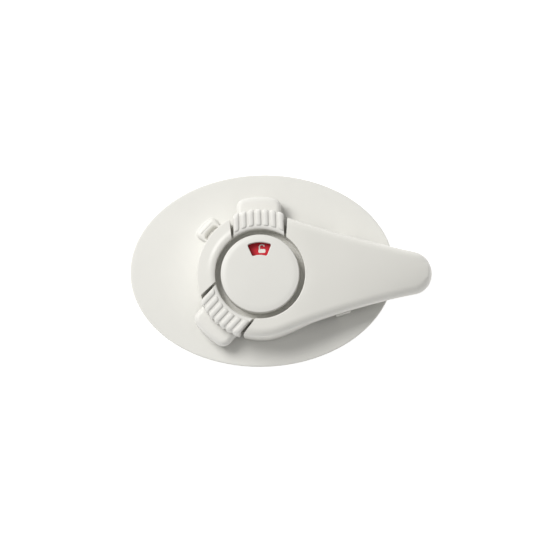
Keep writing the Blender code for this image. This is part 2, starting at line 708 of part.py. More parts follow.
def shell_section(point, outward):
    """One closed section of the ring and arm shell at one point of its outline."""
    direction = opening_point(point)
    angle = math.degrees(math.atan2(point.y, point.x)) % 360.0
    free_segment = BUTTON_ANGLES["upper"] < angle < BUTTON_ANGLES["lower"]

    def at(radius, z):
        return direction * radius + Vector((0.0, 0.0, z))

    section = [
        at(DISH_HOLE_RADIUS, DISH_UNDERSIDE),
        at(DISH_HOLE_RADIUS, DISH_FLOOR),
        at(DISH_LAND_RADIUS, DISH_FLOOR),
        at(DISH_LAND_RADIUS, GROOVE_FLOOR),
        at(OPENING_RADIUS, GROOVE_FLOOR),
    ]
    if free_segment:
        section += lip_profile(direction, angle)
    else:
        section.append(at(OPENING_RADIUS, RING_TOP - OPENING_ROUNDING))
        section.append(at(OPENING_RADIUS + OPENING_ROUNDING, RING_TOP))
        reach_in = min(max(abs(point.y) * 0.9, 3.0 * MM), EDGE_ROUNDING)
        start = direction * (OPENING_RADIUS + OPENING_ROUNDING)
        shoulder = point - outward * reach_in
        for share in (0.22, 0.46, 0.72):
            spot = start.lerp(shoulder, share)
            section.append(Vector((spot.x, spot.y, arm_top(spot.x, spot.y))))
        level = arm_top(shoulder.x, shoulder.y)
        for turn in (0.0, 25.0, 50.0, 72.0, 90.0):
            spot = point - outward * reach_in * (1.0 - math.sin(math.radians(turn)))
            fall = EDGE_ROUNDING * (1.0 - math.cos(math.radians(turn)))
            section.append(Vector((spot.x, spot.y, level - fall)))
    rim = arm_rim(point.x, point.length)
    lowered = 1.0 * MM if free_segment else 0.0
    inside = point - outward * SHELL_WALL
    roof = arm_top(inside.x, inside.y) - SHELL_WALL
    section.append(Vector((point.x, point.y, rim)))
    section.append(Vector((inside.x, inside.y, rim)))
    section.append(Vector((inside.x, inside.y, roof - 2.4 * MM)))
    eased = point - outward * (SHELL_WALL + 1.6 * MM)
    section.append(Vector((eased.x, eased.y, roof - 0.7 * MM - lowered * 0.5)))
    back = direction * OPENING_WALL_OUTER
    half_way = back.lerp(eased, 0.5)
    section.append(Vector((half_way.x, half_way.y,
                           arm_top(half_way.x, half_way.y) - SHELL_WALL - lowered)))
    land_inner = DISH_LAND_RADIUS - GROOVE_THICKNESS
    section.append(at(OPENING_WALL_OUTER, RING_TOP - SHELL_WALL - lowered))
    section.append(at(OPENING_WALL_OUTER, GROOVE_UNDERSIDE))
    section.append(at(land_inner, GROOVE_UNDERSIDE))
    section.append(at(land_inner, DISH_UNDERSIDE))
    return section


def slot_half_width(u):
    """Half width of a button's slot at one distance along its direction."""
    widen = math.tan(math.radians(SLOT_TAPER))
    return BUTTON_HALF_WIDTH + SLOT_CLEARANCE + (u - SLOT_MIDDLE) * widen


def slot_point(radius, share, z):
    """Point on a circle round the hub, at a share of the slot's half width."""
    u = radius
    for _ in range(6):
        u = math.sqrt(radius ** 2 - (share * slot_half_width(u)) ** 2)
    return Vector((u, share * slot_half_width(u), z))


def slot_cutter(name, angle):
    """Cuts the way of one button through the ring, but keeps the wall under it."""
    floor = DISH_FLOOR - 0.2 * MM
    near = OPENING_RADIUS - 0.6 * MM
    back = OPENING_WALL_OUTER + SLIDE_GAP
    far = 60.0 * MM
    profile = [(near, floor), (back, floor), (back, 0.0), (far, 0.0), (far, 40.0 * MM),
               (near, 40.0 * MM)]
    sections = []
    for share in spread(-1.0, 1.0, 8):
        sections.append([turn_to(angle) @ slot_point(radius, share, z) for radius, z in profile])
    mesh = bmesh.new()
    add_loft(mesh, sections)
    return tool(name, mesh)


def make_slot_walls():
    """Walls that close the shell beside the two button slots."""
    mesh = bmesh.new()
    wall = SHELL_WALL * 0.7
    near = slot_point(OPENING_RADIUS + 0.9 * MM, 1.0, 0.0).x
    far = slot_point(RING_RADIUS - 1.2 * MM, 1.0, 0.0).x
    for angle in BUTTON_ANGLES.values():
        for side in (-1.0, 1.0):
            outline = []
            for u, offset in ((near, -0.5 * MM), (far, -0.5 * MM), (far, wall), (near, wall)):
                outline.append((u, side * (slot_half_width(u) + offset)))
            if side < 0.0:
                outline.reverse()
            placed = [(turn_to(angle) @ Vector((x, y, 0.0))).xy for x, y in outline]
            add_prism(mesh, placed, BUTTON_FLOOR, RING_TOP - SHELL_WALL - 0.6 * MM)
    return tool("slot_walls", mesh)


def add_tube(mesh, x, y, outer, inner, bottom, top, steps=16):
    """A short tube or a solid round bar standing at (x, y)."""
    def circle(radius, z):
        return [Vector((x + radius * math.cos(math.tau * i / steps),
                        y + radius * math.sin(math.tau * i / steps), z)) for i in range(steps)]
    if inner > 0.0:
        rings = [circle(outer, bottom), circle(outer, top), circle(inner, top), circle(inner, bottom)]
        loops = [[mesh.verts.new(point) for point in ring] for ring in rings]
        for first, second in zip(loops, loops[1:] + loops[:1]):
            for index in range(steps):
                after = (index + 1) % steps
                mesh.faces.new((first[index], first[after], second[after], second[index]))
    else:
        add_loft(mesh, [circle(outer, bottom), circle(outer, top)])


def make_shell_inside():
    """Hub skirt across the arm, screw bosses, rib and feet, as one addition."""
    mesh = bmesh.new()
    skirt = sector_outline(SKIRT_INNER + 0.2 * MM, RING_RADIUS - 0.2 * MM, 63.0, 24)
    add_prism(mesh, skirt, SKIRT_BOTTOM, RING_TOP - SHELL_WALL - 0.1 * MM)
    return tool("hub_skirt", mesh)


def make_shell_bosses():
    mesh = bmesh.new()
    for angle in CARRIER_SCREW_ANGLES:
        spot = polar(CARRIER_SCREW_RADIUS, angle)
        low_top = 1.4 * MM if angle > 90.0 else 0.0
        add_tube(mesh, spot.x, spot.y, RING_BOSS_RADIUS, 0.0, BUTTON_FLOOR,
                 RING_TOP - SHELL_WALL + 0.6 * MM - low_top)
    for x in COVER_SCREW_X:
        bottom = cover_bottom(x) + COVER_THICKNESS + SEAT_GAP
        add_tube(mesh, x, 0.0, ARM_BOSS_RADIUS, 0.0, bottom, arm_top(x, 0.0) - SHELL_WALL * 0.5)
    return tool("shell_bosses", mesh)


def make_boss_holes():
    mesh = bmesh.new()
    hole = SCREW_SHANK + SEAT_GAP
    for angle in CARRIER_SCREW_ANGLES:
        spot = polar(CARRIER_SCREW_RADIUS, angle)
        top = CARRIER_BOTTOM + SCREW_LENGTH + 0.6 * MM
        add_tube(mesh, spot.x, spot.y, hole, 0.0, BUTTON_FLOOR - 1.0 * MM, top, 12)
    for x in COVER_SCREW_X:
        bottom = cover_bottom(x)
        add_tube(mesh, x, 0.0, hole, 0.0, bottom, bottom + SCREW_LENGTH - 1.4 * MM, 12)
    return tool("boss_holes", mesh)


def make_arm_rib():
    """Stiffening rib along the arm, under its top."""
    mesh = bmesh.new()
    start = RING_RADIUS - 1.0 * MM
    end = ARM_REACH - 7.0 * MM
    stations = spread(start, end, 8)
    sections = []
    for side in (-ARM_RIB_THICKNESS / 2.0, ARM_RIB_THICKNESS / 2.0):
        upper = [Vector((x, side, arm_top(x, 0.0) - SHELL_WALL * 0.7)) for x in stations]
        lower = [Vector((x, side, arm_top(x, 0.0) - SHELL_WALL - ARM_RIB_DEPTH * (1.0 - 0.4 * i / 8)))
                 for i, x in enumerate(stations)]
        sections.append(upper + list(reversed(lower)))
    add_loft(mesh, sections)
    return tool("arm_rib", mesh)


def arm_half_width(x):
    """Half width of the arm's outline at one place along it."""
    points, _ = arm_outline()
    upper = sorted([p for p in points if p.y >= 0.0 and p.x > 0.0], key=lambda p: p.x)
    for first, second in zip(upper, upper[1:]):
        if first.x <= x <= second.x:
            share = (x - first.x) / max(second.x - first.x, 1e-9)
            return first.y + (second.y - first.y) * share
    return 0.0


def make_feet():
    """Two tabs that carry the arm's edges down towards the base."""
    mesh = bmesh.new()
    low = FOOT_X - FOOT_LENGTH / 2.0
    high = FOOT_X + FOOT_LENGTH / 2.0
    for side in (-1.0, 1.0):
        outer_low = side * (arm_half_width(low) - 0.15 * MM)
        outer_high = side * (arm_half_width(high) - 0.15 * MM)
        inner_low = outer_low - side * (SHELL_WALL - 0.3 * MM)
        inner_high = outer_high - side * (SHELL_WALL - 0.3 * MM)
        outline = [(low, outer_low), (high, outer_high), (high, inner_high), (low, inner_low)]
        add_prism(mesh, outline, FOOT_BOTTOM, ARM_RIM_ROOT + 2.0 * MM)
    return tool("feet", mesh)


def make_disc_keys():
    mesh = bmesh.new()
    for angle in KEY_ANGLES:
        outline = box_outline(DISC_RADIUS - KEY_DEPTH, DISC_RADIUS - 0.2 * MM,
                              -KEY_WIDTH / 2.0, KEY_WIDTH / 2.0)
        placed = [(turn_to(angle) @ Vector((x, y, 0.0))).xy for x, y in outline]
        add_prism(mesh, placed, DISH_FLOOR - 0.5 * MM, DISC_TOP)
    return tool("disc_keys", mesh)


def make_swing_arm(finish):
    points, outward = arm_outline()
    sections = [shell_section(point, out) for point, out in zip(points, outward)]
    mesh = bmesh.new()
    add_loft(mesh, sections, ring=True)
    arm = finish_mesh("swing_arm", mesh, finish)
    combine(arm, make_arm_rib(), "UNION")
    combine(arm, make_shell_inside(), "UNION")
    combine(arm, make_slot_walls(), "UNION")
    combine(arm, make_shell_bosses(), "UNION")
    combine(arm, make_feet(), "UNION")
    combine(arm, make_disc_keys(), "UNION")
    for name, angle in BUTTON_ANGLES.items():
        combine(arm, slot_cutter(name + "_slot", angle), "DIFFERENCE")
    combine(arm, make_boss_holes(), "DIFFERENCE")
    return settle(arm)


# Arm cover and screws

def cover_bottom(x):
    return arm_rim(x, 50.0 * MM) + 0.3 * MM


def make_arm_cover(finish):
    """A plate that follows the arm's lower edge inside the shell."""
    inset = SHELL_WALL + SLIDE_GAP
    end = ARM_REACH - inset - 1.4 * MM
    sections = []
    for x in spread(COVER_START_X, end, 14):
        half = max(arm_half_width(x + inset * 0.35) - inset, 2.0 * MM)
        if x > GRIP_X:
            half = min(half, arm_half_width(min(x + inset, ARM_REACH - 0.1 * MM)))
        bottom = cover_bottom(x)
        top = bottom + COVER_THICKNESS
        sections.append([
            Vector((x, -half, bottom)),
            Vector((x, half, bottom)),
            Vector((x, half, top)),
            Vector((x, -half, top)),
        ])
    mesh = bmesh.new()
    add_loft(mesh, sections)
    cover = finish_mesh("arm_cover", mesh, finish)
    mesh = bmesh.new()
    for x in COVER_SCREW_X:
        bottom = cover_bottom(x)
        add_tube(mesh, x, 0.0, SCREW_SHANK + SEAT_GAP, 0.0, bottom - 1.0 * MM, bottom + 4.0 * MM, 12)
    combine(cover, tool("cover_holes", mesh), "DIFFERENCE")
    return settle(cover)


def make_cover_screw(name, x, finish):
    """Pan-head screw that holds the cover from below."""
    face = cover_bottom(x) - SEAT_GAP
    low = face - SCREW_HEAD_HEIGHT
    end = face + SCREW_LENGTH - 1.6 * MM
    profile = [
        (0.0, low),
        (SCREW_HEAD * 0.7, low),
        (SCREW_HEAD, face - SCREW_HEAD_HEIGHT * 0.5),
        (SCREW_HEAD, face),
        (SCREW_SHANK, face),
        (SCREW_SHANK, end - 0.8 * MM),
        (SCREW_SHANK * 0.4, end),
        (0.0, end),
    ]
    mesh = bmesh.new()
    part = bmesh.new()
    add_turned(part, profile, 12)
    take_in(mesh, part, Matrix.Translation((x, 0.0, 0.0)))
    screw = finish_mesh(name, mesh, finish)
    recess = bmesh.new()
    add_cross_recess(recess, x, 0.0, low, 0.8 * MM, SCREW_HEAD * 0.5, 0.6 * MM)
    combine(screw, tool(name + "_recess", recess), "DIFFERENCE")
    return settle(screw)


# Hub carrier

def make_hub_carrier(finish):
    plate = [
        (SLEEVE_INNER, CARRIER_BOTTOM),
        (CARRIER_RADIUS, CARRIER_BOTTOM),
        (CARRIER_RADIUS, CARRIER_TOP),
        (SLEEVE_OUTER, CARRIER_TOP),
        (SLEEVE_OUTER, SLEEVE_TOP),
        (SLEEVE_INNER, SLEEVE_TOP),
    ]
    carrier = turned("hub_carrier", plate, 48, finish)
    mesh = bmesh.new()
    for angle in BUTTON_ANGLES.values():
        turn = turn_to(angle)
        for side in (-1.0, 1.0):
            low, high = sorted((side * GUIDE_INNER, side * (GUIDE_INNER + GUIDE_WALL)))
            placed = [(turn @ Vector((x, y, 0.0))).xy
                      for x, y in box_outline(GUIDE_START, GUIDE_END, low, high)]
            add_prism(mesh, placed, CARRIER_TOP - 0.6 * MM, BUTTON_FLOOR + RAIL_HEIGHT)
    combine(carrier, tool("guide_walls", mesh), "UNION")
    for name, angle in BUTTON_ANGLES.items():
        mesh = bmesh.new()
        pin = [Vector((0.0, PIN_RADIUS * math.cos(math.tau * i / 10),
                       PIN_RADIUS * math.sin(math.tau * i / 10) + SPRING_HEIGHT)) for i in range(10)]
        start = Vector((SLEEVE_OUTER - 1.0 * MM, 0.0, 0.0))
        end = Vector((SLEEVE_OUTER + PIN_LENGTH, 0.0, 0.0))
        add_loft(mesh, [[turn_to(angle) @ (point + start) for point in pin],
                        [turn_to(angle) @ (point + end) for point in pin]])
        combine(carrier, tool(name + "_spring_pin", mesh), "UNION")
    mesh = bmesh.new()
    notch_in = TOOTH_INNER - TRAVEL_IN - SEAT_GAP
    half = TOOTH_WIDTH / 2.0 + SLIDE_GAP
    for angle in BUTTON_ANGLES.values():
        placed = [(turn_to(angle) @ Vector((x, y, 0.0))).xy
                  for x, y in box_outline(notch_in, CARRIER_RADIUS + 3.0 * MM, -half, half)]
        add_prism(mesh, placed, CARRIER_BOTTOM - 1.0 * MM, CARRIER_TOP + 1.0 * MM)
    for angle in CARRIER_SCREW_ANGLES:
        spot = polar(CARRIER_SCREW_RADIUS, angle)
        add_tube(mesh, spot.x, spot.y, SCREW_SHANK + SEAT_GAP, 0.0,
                 CARRIER_BOTTOM - 1.0 * MM, CARRIER_TOP + 1.0 * MM, 12)
    combine(carrier, tool("carrier_cuts", mesh), "DIFFERENCE")
    mesh = bmesh.new()
    for angle in CARRIER_SCREW_ANGLES:
        spot = polar(CARRIER_SCREW_RADIUS, angle)
        part = countersink(SCREW_HEAD + SEAT_GAP, SCREW_SHANK + SEAT_GAP, CARRIER_BOTTOM)
        add_ring_stack(mesh, spot.x, spot.y, part, 12)
    combine(carrier, tool("carrier_sinks", mesh), "DIFFERENCE")
    return settle(carrier)


def countersink(head, shank, face):
    """Radii and heights of a countersunk head that is level with a face below it."""
    return [(head, face - 0.6 * MM), (head, face), (shank, face + SCREW_HEAD_HEIGHT),
            (shank * 0.9, face + SCREW_HEAD_HEIGHT + 0.1 * MM)]


def add_ring_stack(mesh, x, y, rings, steps):
    """A solid of round sections given as (radius, z) from bottom to top."""
    sections = []
    for radius, z in rings:
        sections.append([Vector((x + radius * math.cos(math.tau * i / steps),
                                 y + radius * math.sin(math.tau * i / steps), z))
                         for i in range(steps)])
    add_loft(mesh, sections)


def make_carrier_screw(name, angle, finish):
    """Countersunk screw through the carrier into one of the ring's bosses."""
    spot = polar(CARRIER_SCREW_RADIUS, angle)
    face = CARRIER_BOTTOM
    rings = [
        (SCREW_HEAD - 0.2 * MM, face),
        (SCREW_HEAD, face + 0.1 * MM),
        (SCREW_SHANK, face + SCREW_HEAD_HEIGHT),
        (SCREW_SHANK, face + SCREW_LENGTH - 0.8 * MM),
        (SCREW_SHANK * 0.4, face + SCREW_LENGTH),
    ]
    mesh = bmesh.new()
    add_ring_stack(mesh, spot.x, spot.y, rings, 12)
    screw = finish_mesh(name, mesh, finish)
    recess = bmesh.new()
    add_cross_recess(recess, spot.x, spot.y, face, 0.7 * MM, SCREW_HEAD * 0.5, 0.6 * MM)
    combine(screw, tool(name + "_recess", recess), "DIFFERENCE")
    return settle(screw)


# Buttons and springs

def rib_lift(side):
    """How far the button's grip stands out at one place across it."""
    place = side / RIB_PITCH
    nearest = min(max(round(place), -(RIB_COUNT // 2)), RIB_COUNT // 2)
    share = abs(side - nearest * RIB_PITCH) / (RIB_WIDTH / 2.0)
    if share >= 1.0:
        return 0.0
    return RIB_HEIGHT * math.sqrt(1.0 - share ** 2.6)


def button_section(side):
    """Section of the ribbed body at one distance from its middle plane."""
    lift = rib_lift(side)
    top = RING_TOP - RIB_HEIGHT + 0.1 * MM
    outer = BUTTON_RADIUS - RIB_HEIGHT * 0.8
    bend = 1.6 * MM
    points = [
        (WEB_INNER, BUTTON_FLOOR),
        (WEB_INNER, BUTTON_PLATE_BOTTOM - 0.8 * MM),
        (WEB_INNER - 0.8 * MM, BUTTON_PLATE_BOTTOM),
        (OPENING_RADIUS, BUTTON_PLATE_BOTTOM),
        (OPENING_RADIUS, top - 1.1 * MM),
        (OPENING_RADIUS + 0.35 * MM, top - 0.55 * MM),
        (OPENING_RADIUS + 1.0 * MM, top - 0.2 * MM),
        (RIB_INNER_RADIUS, top),
        (RIB_INNER_RADIUS + 0.35 * MM, top + lift * 0.75),
        (RIB_INNER_RADIUS + 1.0 * MM, top + lift),
        (outer - bend, top + lift),
        (outer - bend * 0.35 + lift * 0.5, top - bend * 0.2 + lift * 0.7),
        (outer + lift * 0.8, top - bend * 0.8),
        (outer + lift * 0.8 + 0.2 * MM, LUG_TOP + 2.0 * MM),
        (outer + 0.2 * MM, LUG_TOP + 0.6 * MM),
        (outer + 0.2 * MM, BUTTON_FLOOR),
    ]
    section = []
    for radius, z in points:
        u = math.sqrt(max(radius ** 2 - side ** 2, 0.0))
        if radius <= WEB_INNER:
            u = min(u, radius) if z > BUTTON_PLATE_BOTTOM - 0.1 * MM else radius
        section.append(Vector((u, side, z)))
    section[2].x = WEB_INNER - 0.8 * MM
    return section


def rib_stations():
    """Places across the button: the feet, shoulders and crest of every rib."""
    stations = [-BUTTON_HALF_WIDTH]
    for index in range(RIB_COUNT):
        middle = (index - RIB_COUNT // 2) * RIB_PITCH
        for share in (-1.0, -0.7, 0.0, 0.7, 1.0):
            stations.append(middle + share * RIB_WIDTH / 2.0)
    stations.append(BUTTON_HALF_WIDTH)
    return stations


def make_lug(name):
    """Finger pad: a low rounded block that stands out beyond the ribs."""
    mesh = bmesh.new()
    half = LUG_HALF_WIDTH
    outer = math.sqrt(LUG_RADIUS ** 2 - half ** 2)
    inner = WEB_INNER + 1.0 * MM
    corner = LUG_CORNER
    outline = [(inner, -half), (outer - corner, -half)]
    start = Vector((outer - corner, -half))
    turn = Vector((outer, -half))
    end_side = half - corner
    end = Vector((math.sqrt(LUG_RADIUS ** 2 - end_side ** 2), -end_side))
    for t in spread(0.0, 1.0, 4)[1:]:
        spot = start * (1 - t) ** 2 + turn * 2 * t * (1 - t) + end * t ** 2
        outline.append((spot.x, spot.y))
    for side in spread(-end_side, end_side, 6)[1:-1]:
        outline.append((math.sqrt(LUG_RADIUS ** 2 - side ** 2), side))
    mirrored = [(x, -y) for x, y in reversed(outline) if y < 0.0 and abs(y) >= end_side - 1e-9]
    outline = outline + mirrored
    raised = add_prism(mesh, outline, BUTTON_FLOOR, LUG_TOP)
    inner_edges = [edge for edge in mesh.edges
                   if all(abs(corner.co.x - inner) < 1e-6 for corner in edge.verts)]
    bevel_rim(mesh, raised, LUG_ROUNDING, 4, inner_edges)
    return tool(name + "_lug", mesh)


def make_button_inside(name):
    """Rails with end hooks, spring pin and catch tooth."""
    mesh = bmesh.new()
    top = BUTTON_FLOOR + RAIL_HEIGHT
    for side in (-1.0, 1.0):
        hook = side * (RAIL_OUTER + RAIL_HOOK_REACH)
        outer = side * RAIL_OUTER
        inner = side * RAIL_INNER
        outline = [
            (RAIL_END, inner), (RAIL_END, hook), (RAIL_END + RAIL_HOOK, hook),
            (RAIL_END + RAIL_HOOK, outer), (WEB_INNER + 1.0 * MM, outer),
            (WEB_INNER + 1.0 * MM, inner),
        ]
        if side > 0.0:
            outline.reverse()
        add_prism(mesh, outline, BUTTON_FLOOR, top)
    return tool(name + "_rails", mesh)


def make_button_tooth(name):
    mesh = bmesh.new()
    half = TOOTH_WIDTH / 2.0
    bottom = BUTTON_FLOOR - TOOTH_DEPTH
    top = BUTTON_FLOOR + 1.0 * MM
    front = [(math.sqrt(TOOTH_OUTER ** 2 - side ** 2), side) for side in spread(-half, half, 4)]
    outline = [(TOOTH_INNER, -half)] + front + [(TOOTH_INNER, half)]
    add_prism(mesh, outline, bottom, top)
    pin = [Vector((0.0, PIN_RADIUS * math.cos(math.tau * i / 10),
                   PIN_RADIUS * math.sin(math.tau * i / 10) + SPRING_HEIGHT)) for i in range(10)]
    start = Vector((WEB_INNER - PIN_LENGTH, 0.0, 0.0))
    end = Vector((WEB_INNER + 1.0 * MM, 0.0, 0.0))
    add_loft(mesh, [[point + start for point in pin], [point + end for point in pin]])
    return tool(name + "_tooth", mesh)


def make_button(name, angle, finish):
    """One squeeze button, modelled along +X and turned to its place by its guide."""
    mesh = bmesh.new()
    add_loft(mesh, [button_section(side) for side in rib_stations()])
    button = finish_mesh(name + "_button", mesh, finish)
    for addition in (make_lug(name), make_button_inside(name), make_button_tooth(name)):
        combine(button, addition, "UNION")
    settle(button)
    guide = bpy.data.objects.new(name + "_guide", None)
    bpy.context.scene.collection.objects.link(guide)
    guide.rotation_euler = (0.0, 0.0, math.radians(angle))
    button.parent = guide
    return button


def make_spring(name, angle, finish):
    """A compression spring between the hub sleeve and the button's web."""
    length = WEB_INNER - SLEEVE_OUTER - 2.0 * (SEAT_GAP + WIRE_RADIUS)
    start = SLEEVE_OUTER + SEAT_GAP + WIRE_RADIUS
    curve = bpy.data.curves.new(name + "_spring", "CURVE")
    curve.dimensions = "3D"
    curve.bevel_depth = WIRE_RADIUS
    curve.bevel_resolution = 1
    curve.use_fill_caps = True
    spline = curve.splines.new("POLY")
    count = COIL_TURNS * COIL_POINTS
    spline.points.add(count)
    turn = turn_to(angle)
    for index in range(count + 1):
        around = math.tau * index / COIL_POINTS
        along = start + length * index / count
        spot = turn @ Vector((along, COIL_RADIUS * math.cos(around),
                              SPRING_HEIGHT + COIL_RADIUS * math.sin(around)))
        spline.points[index].co = (*spot, 1.0)
    spring = bpy.data.objects.new(name + "_spring", curve)
    bpy.context.scene.collection.objects.link(spring)
    curve.materials.append(finish)
    points = [Vector(point.co[:3]) for point in spline.points]
    gap = min((points[i] - points[j]).length for i in range(len(points))
              for j in range(i + COIL_POINTS - 2, len(points))) - 2.0 * WIRE_RADIUS
    print(f"{name}_spring least gap to itself: {gap * 1000.0:.2f} mm")
    return spring


# Cap and indicator

def cap_height(radius):
    """Height of the cap's top: a slight dome that falls off towards its edge."""
    flat = CAP_RADIUS - CAP_ROUNDING
    share = min(radius / flat, 1.0)
    near_edge = max((radius - flat + CAP_SHOULDER_WIDTH) / CAP_SHOULDER_WIDTH, 0.0)
    return RING_TOP + CAP_RISE + CAP_DOME * (1.0 - share ** 2) - CAP_SHOULDER * near_edge ** 2


def make_dial_cap(finish):
    inner_top = RING_TOP - CAP_TOP_THICKNESS
    stem_bottom = RETAINER_TOP + SEAT_GAP
    bore = PIVOT_SHANK + SEAT_GAP
    skirt_bottom = GROOVE_FLOOR + SEAT_GAP
    flat = CAP_RADIUS - CAP_ROUNDING
    profile = []
    for radius in (0.0, flat * 0.5, flat - CAP_SHOULDER_WIDTH, flat - CAP_SHOULDER_WIDTH * 0.4, flat):
        profile.append((radius, cap_height(radius)))
    rim = cap_height(flat)
    for turn in (30.0, 60.0, 90.0):
        profile.append((flat + CAP_ROUNDING * math.sin(math.radians(turn)),
                        rim - CAP_ROUNDING * (1.0 - math.cos(math.radians(turn)))))
    profile += [
        (CAP_RADIUS, skirt_bottom),
        (CAP_RADIUS - CAP_WALL, skirt_bottom),
        (CAP_RADIUS - CAP_WALL, inner_top),
        (CAP_STEM_RADIUS, inner_top),
        (CAP_STEM_RADIUS, stem_bottom),
        (bore, stem_bottom),
        (bore, inner_top),
        (0.0, inner_top + 0.2 * MM),
    ]
    cap = turned("dial_cap", profile, 48, finish)
    mesh = bmesh.new()
    add_prism(mesh, window_outline(), LABEL_BOTTOM, RING_TOP + 3.0 * MM)
    combine(cap, tool("window_cut", mesh), "DIFFERENCE")
    return settle(cap)


def window_outline():
    """A fan-shaped window with rounded corners."""
    low = WINDOW_ANGLE - WINDOW_HALF_ANGLE
    high = WINDOW_ANGLE + WINDOW_HALF_ANGLE
    outline = []
    ease = math.degrees(WINDOW_CORNER / WINDOW_OUTER)
    for angle in spread(low + ease, high - ease, 6):
        outline.append(polar(WINDOW_OUTER, angle).xy)
    outline.append(polar(WINDOW_OUTER - WINDOW_CORNER * 0.3, high - ease * 0.3).xy)
    outline.append(polar(WINDOW_OUTER - WINDOW_CORNER, high).xy)
    ease = math.degrees(WINDOW_CORNER / WINDOW_INNER)
    outline.append(polar(WINDOW_INNER + WINDOW_CORNER, high).xy)
    outline.append(polar(WINDOW_INNER + WINDOW_CORNER * 0.3, high - ease * 0.3).xy)
    for angle in spread(high - ease, low + ease, 4):
        outline.append(polar(WINDOW_INNER, angle).xy)
    outline.append(polar(WINDOW_INNER + WINDOW_CORNER * 0.3, low + ease * 0.3).xy)
    outline.append(polar(WINDOW_INNER + WINDOW_CORNER, low).xy)
    ease = math.degrees(WINDOW_CORNER / WINDOW_OUTER)
    outline.append(polar(WINDOW_OUTER - WINDOW_CORNER, low).xy)
    outline.append(polar(WINDOW_OUTER - WINDOW_CORNER * 0.3, low + ease * 0.3).xy)
    return outline


def make_indicator_disc(finish):
    hole = CAP_STEM_RADIUS + SLIDE_GAP
    profile = [(hole, DISC_BOTTOM), (DISC_RADIUS, DISC_BOTTOM),
               (DISC_RADIUS, DISC_TOP), (hole, DISC_TOP)]
    disc = turned("indicator_disc", profile, 40, finish)
    mesh = bmesh.new()
    for angle in KEY_ANGLES:
        outline = box_outline(DISC_RADIUS - KEY_DEPTH - SEAT_GAP, DISC_RADIUS + 2.0 * MM,
                              -KEY_WIDTH / 2.0 - SEAT_GAP, KEY_WIDTH / 2.0 + SEAT_GAP)
        placed = [(turn_to(angle) @ Vector((x, y, 0.0))).xy for x, y in outline]
        add_prism(mesh, placed, DISC_BOTTOM - 1.0 * MM, DISC_TOP + 1.0 * MM)
    combine(disc, tool("disc_notches", mesh), "DIFFERENCE")
    return settle(disc)


def make_label(name, middle, finish):
    mesh = bmesh.new()
    outline = sector_outline(LABEL_INNER, LABEL_OUTER, LABEL_HALF_ANGLE, 10, middle)
    add_prism(mesh, outline, LABEL_BOTTOM, LABEL_BOTTOM + LABEL_THICKNESS)
    return finish_mesh(name, mesh, finish)


def build():
    clear_scene()
    shell = material("shell_plastic", WARM_WHITE, 0.42)
    base = material("base_plastic", BASE_WHITE, 0.45)
    foam = material("foam_tape", FOAM_GREY, 0.9)
    acetal = material("acetal", ACETAL, 0.4)
    zinc = material("zinc_steel", ZINC, 0.35, 1.0)
    steel = material("spring_steel", SPRING_STEEL, 0.3, 1.0)
    red = material("red_label", RED, 0.4)
    green = material("green_label", GREEN, 0.4)

    make_adhesive_pad(foam)
    make_base_plate(base)
    make_pivot_bush(acetal)
    make_wave_washer(steel)
    make_retainer_plate(zinc)
    make_pivot_screw(zinc)
    make_dial_cap(shell)

    turning = bpy.data.objects.new("arm_pivot", None)
    bpy.context.scene.collection.objects.link(turning)
    pieces = [
        make_swing_arm(shell),
        make_arm_cover(shell),
        make_hub_carrier(acetal),
        make_indicator_disc(acetal),
        make_label("unlocked_label", WINDOW_ANGLE, red),
        make_label("locked_label", WINDOW_ANGLE - LOCK_TURN, green),
    ]
    for number, x in enumerate(COVER_SCREW_X, 1):
        pieces.append(make_cover_screw(f"cover_screw_{number}", x, zinc))
    for number, angle in enumerate(CARRIER_SCREW_ANGLES, 1):
        pieces.append(make_carrier_screw(f"carrier_screw_{number}", angle, zinc))
    for piece in pieces:
        piece.parent = turning
    for name, angle in BUTTON_ANGLES.items():
        button = make_button(name, angle, shell)
        button.parent.parent = turning
        spring = make_spring(name, angle, steel)
        spring.parent = turning


build()
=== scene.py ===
import math

import bmesh
import bpy
from mathutils import Matrix, Vector


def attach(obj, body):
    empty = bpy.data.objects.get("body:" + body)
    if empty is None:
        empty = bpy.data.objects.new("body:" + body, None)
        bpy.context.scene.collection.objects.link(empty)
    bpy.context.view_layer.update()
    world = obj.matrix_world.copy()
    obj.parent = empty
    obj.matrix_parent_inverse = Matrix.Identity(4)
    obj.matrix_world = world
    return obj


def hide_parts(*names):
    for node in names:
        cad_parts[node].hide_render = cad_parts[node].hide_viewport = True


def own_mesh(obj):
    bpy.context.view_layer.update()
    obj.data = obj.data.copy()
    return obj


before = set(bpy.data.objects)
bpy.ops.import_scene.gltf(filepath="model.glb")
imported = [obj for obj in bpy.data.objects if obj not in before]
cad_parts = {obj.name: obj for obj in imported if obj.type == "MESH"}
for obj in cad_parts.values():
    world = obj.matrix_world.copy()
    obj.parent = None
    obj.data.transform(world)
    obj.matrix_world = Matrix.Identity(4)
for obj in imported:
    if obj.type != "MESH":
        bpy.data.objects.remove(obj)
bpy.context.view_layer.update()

MM = 0.001
GAP = 0.3 * MM
SLIDE_GAP = 0.4 * MM
LAP = 0.2 * MM

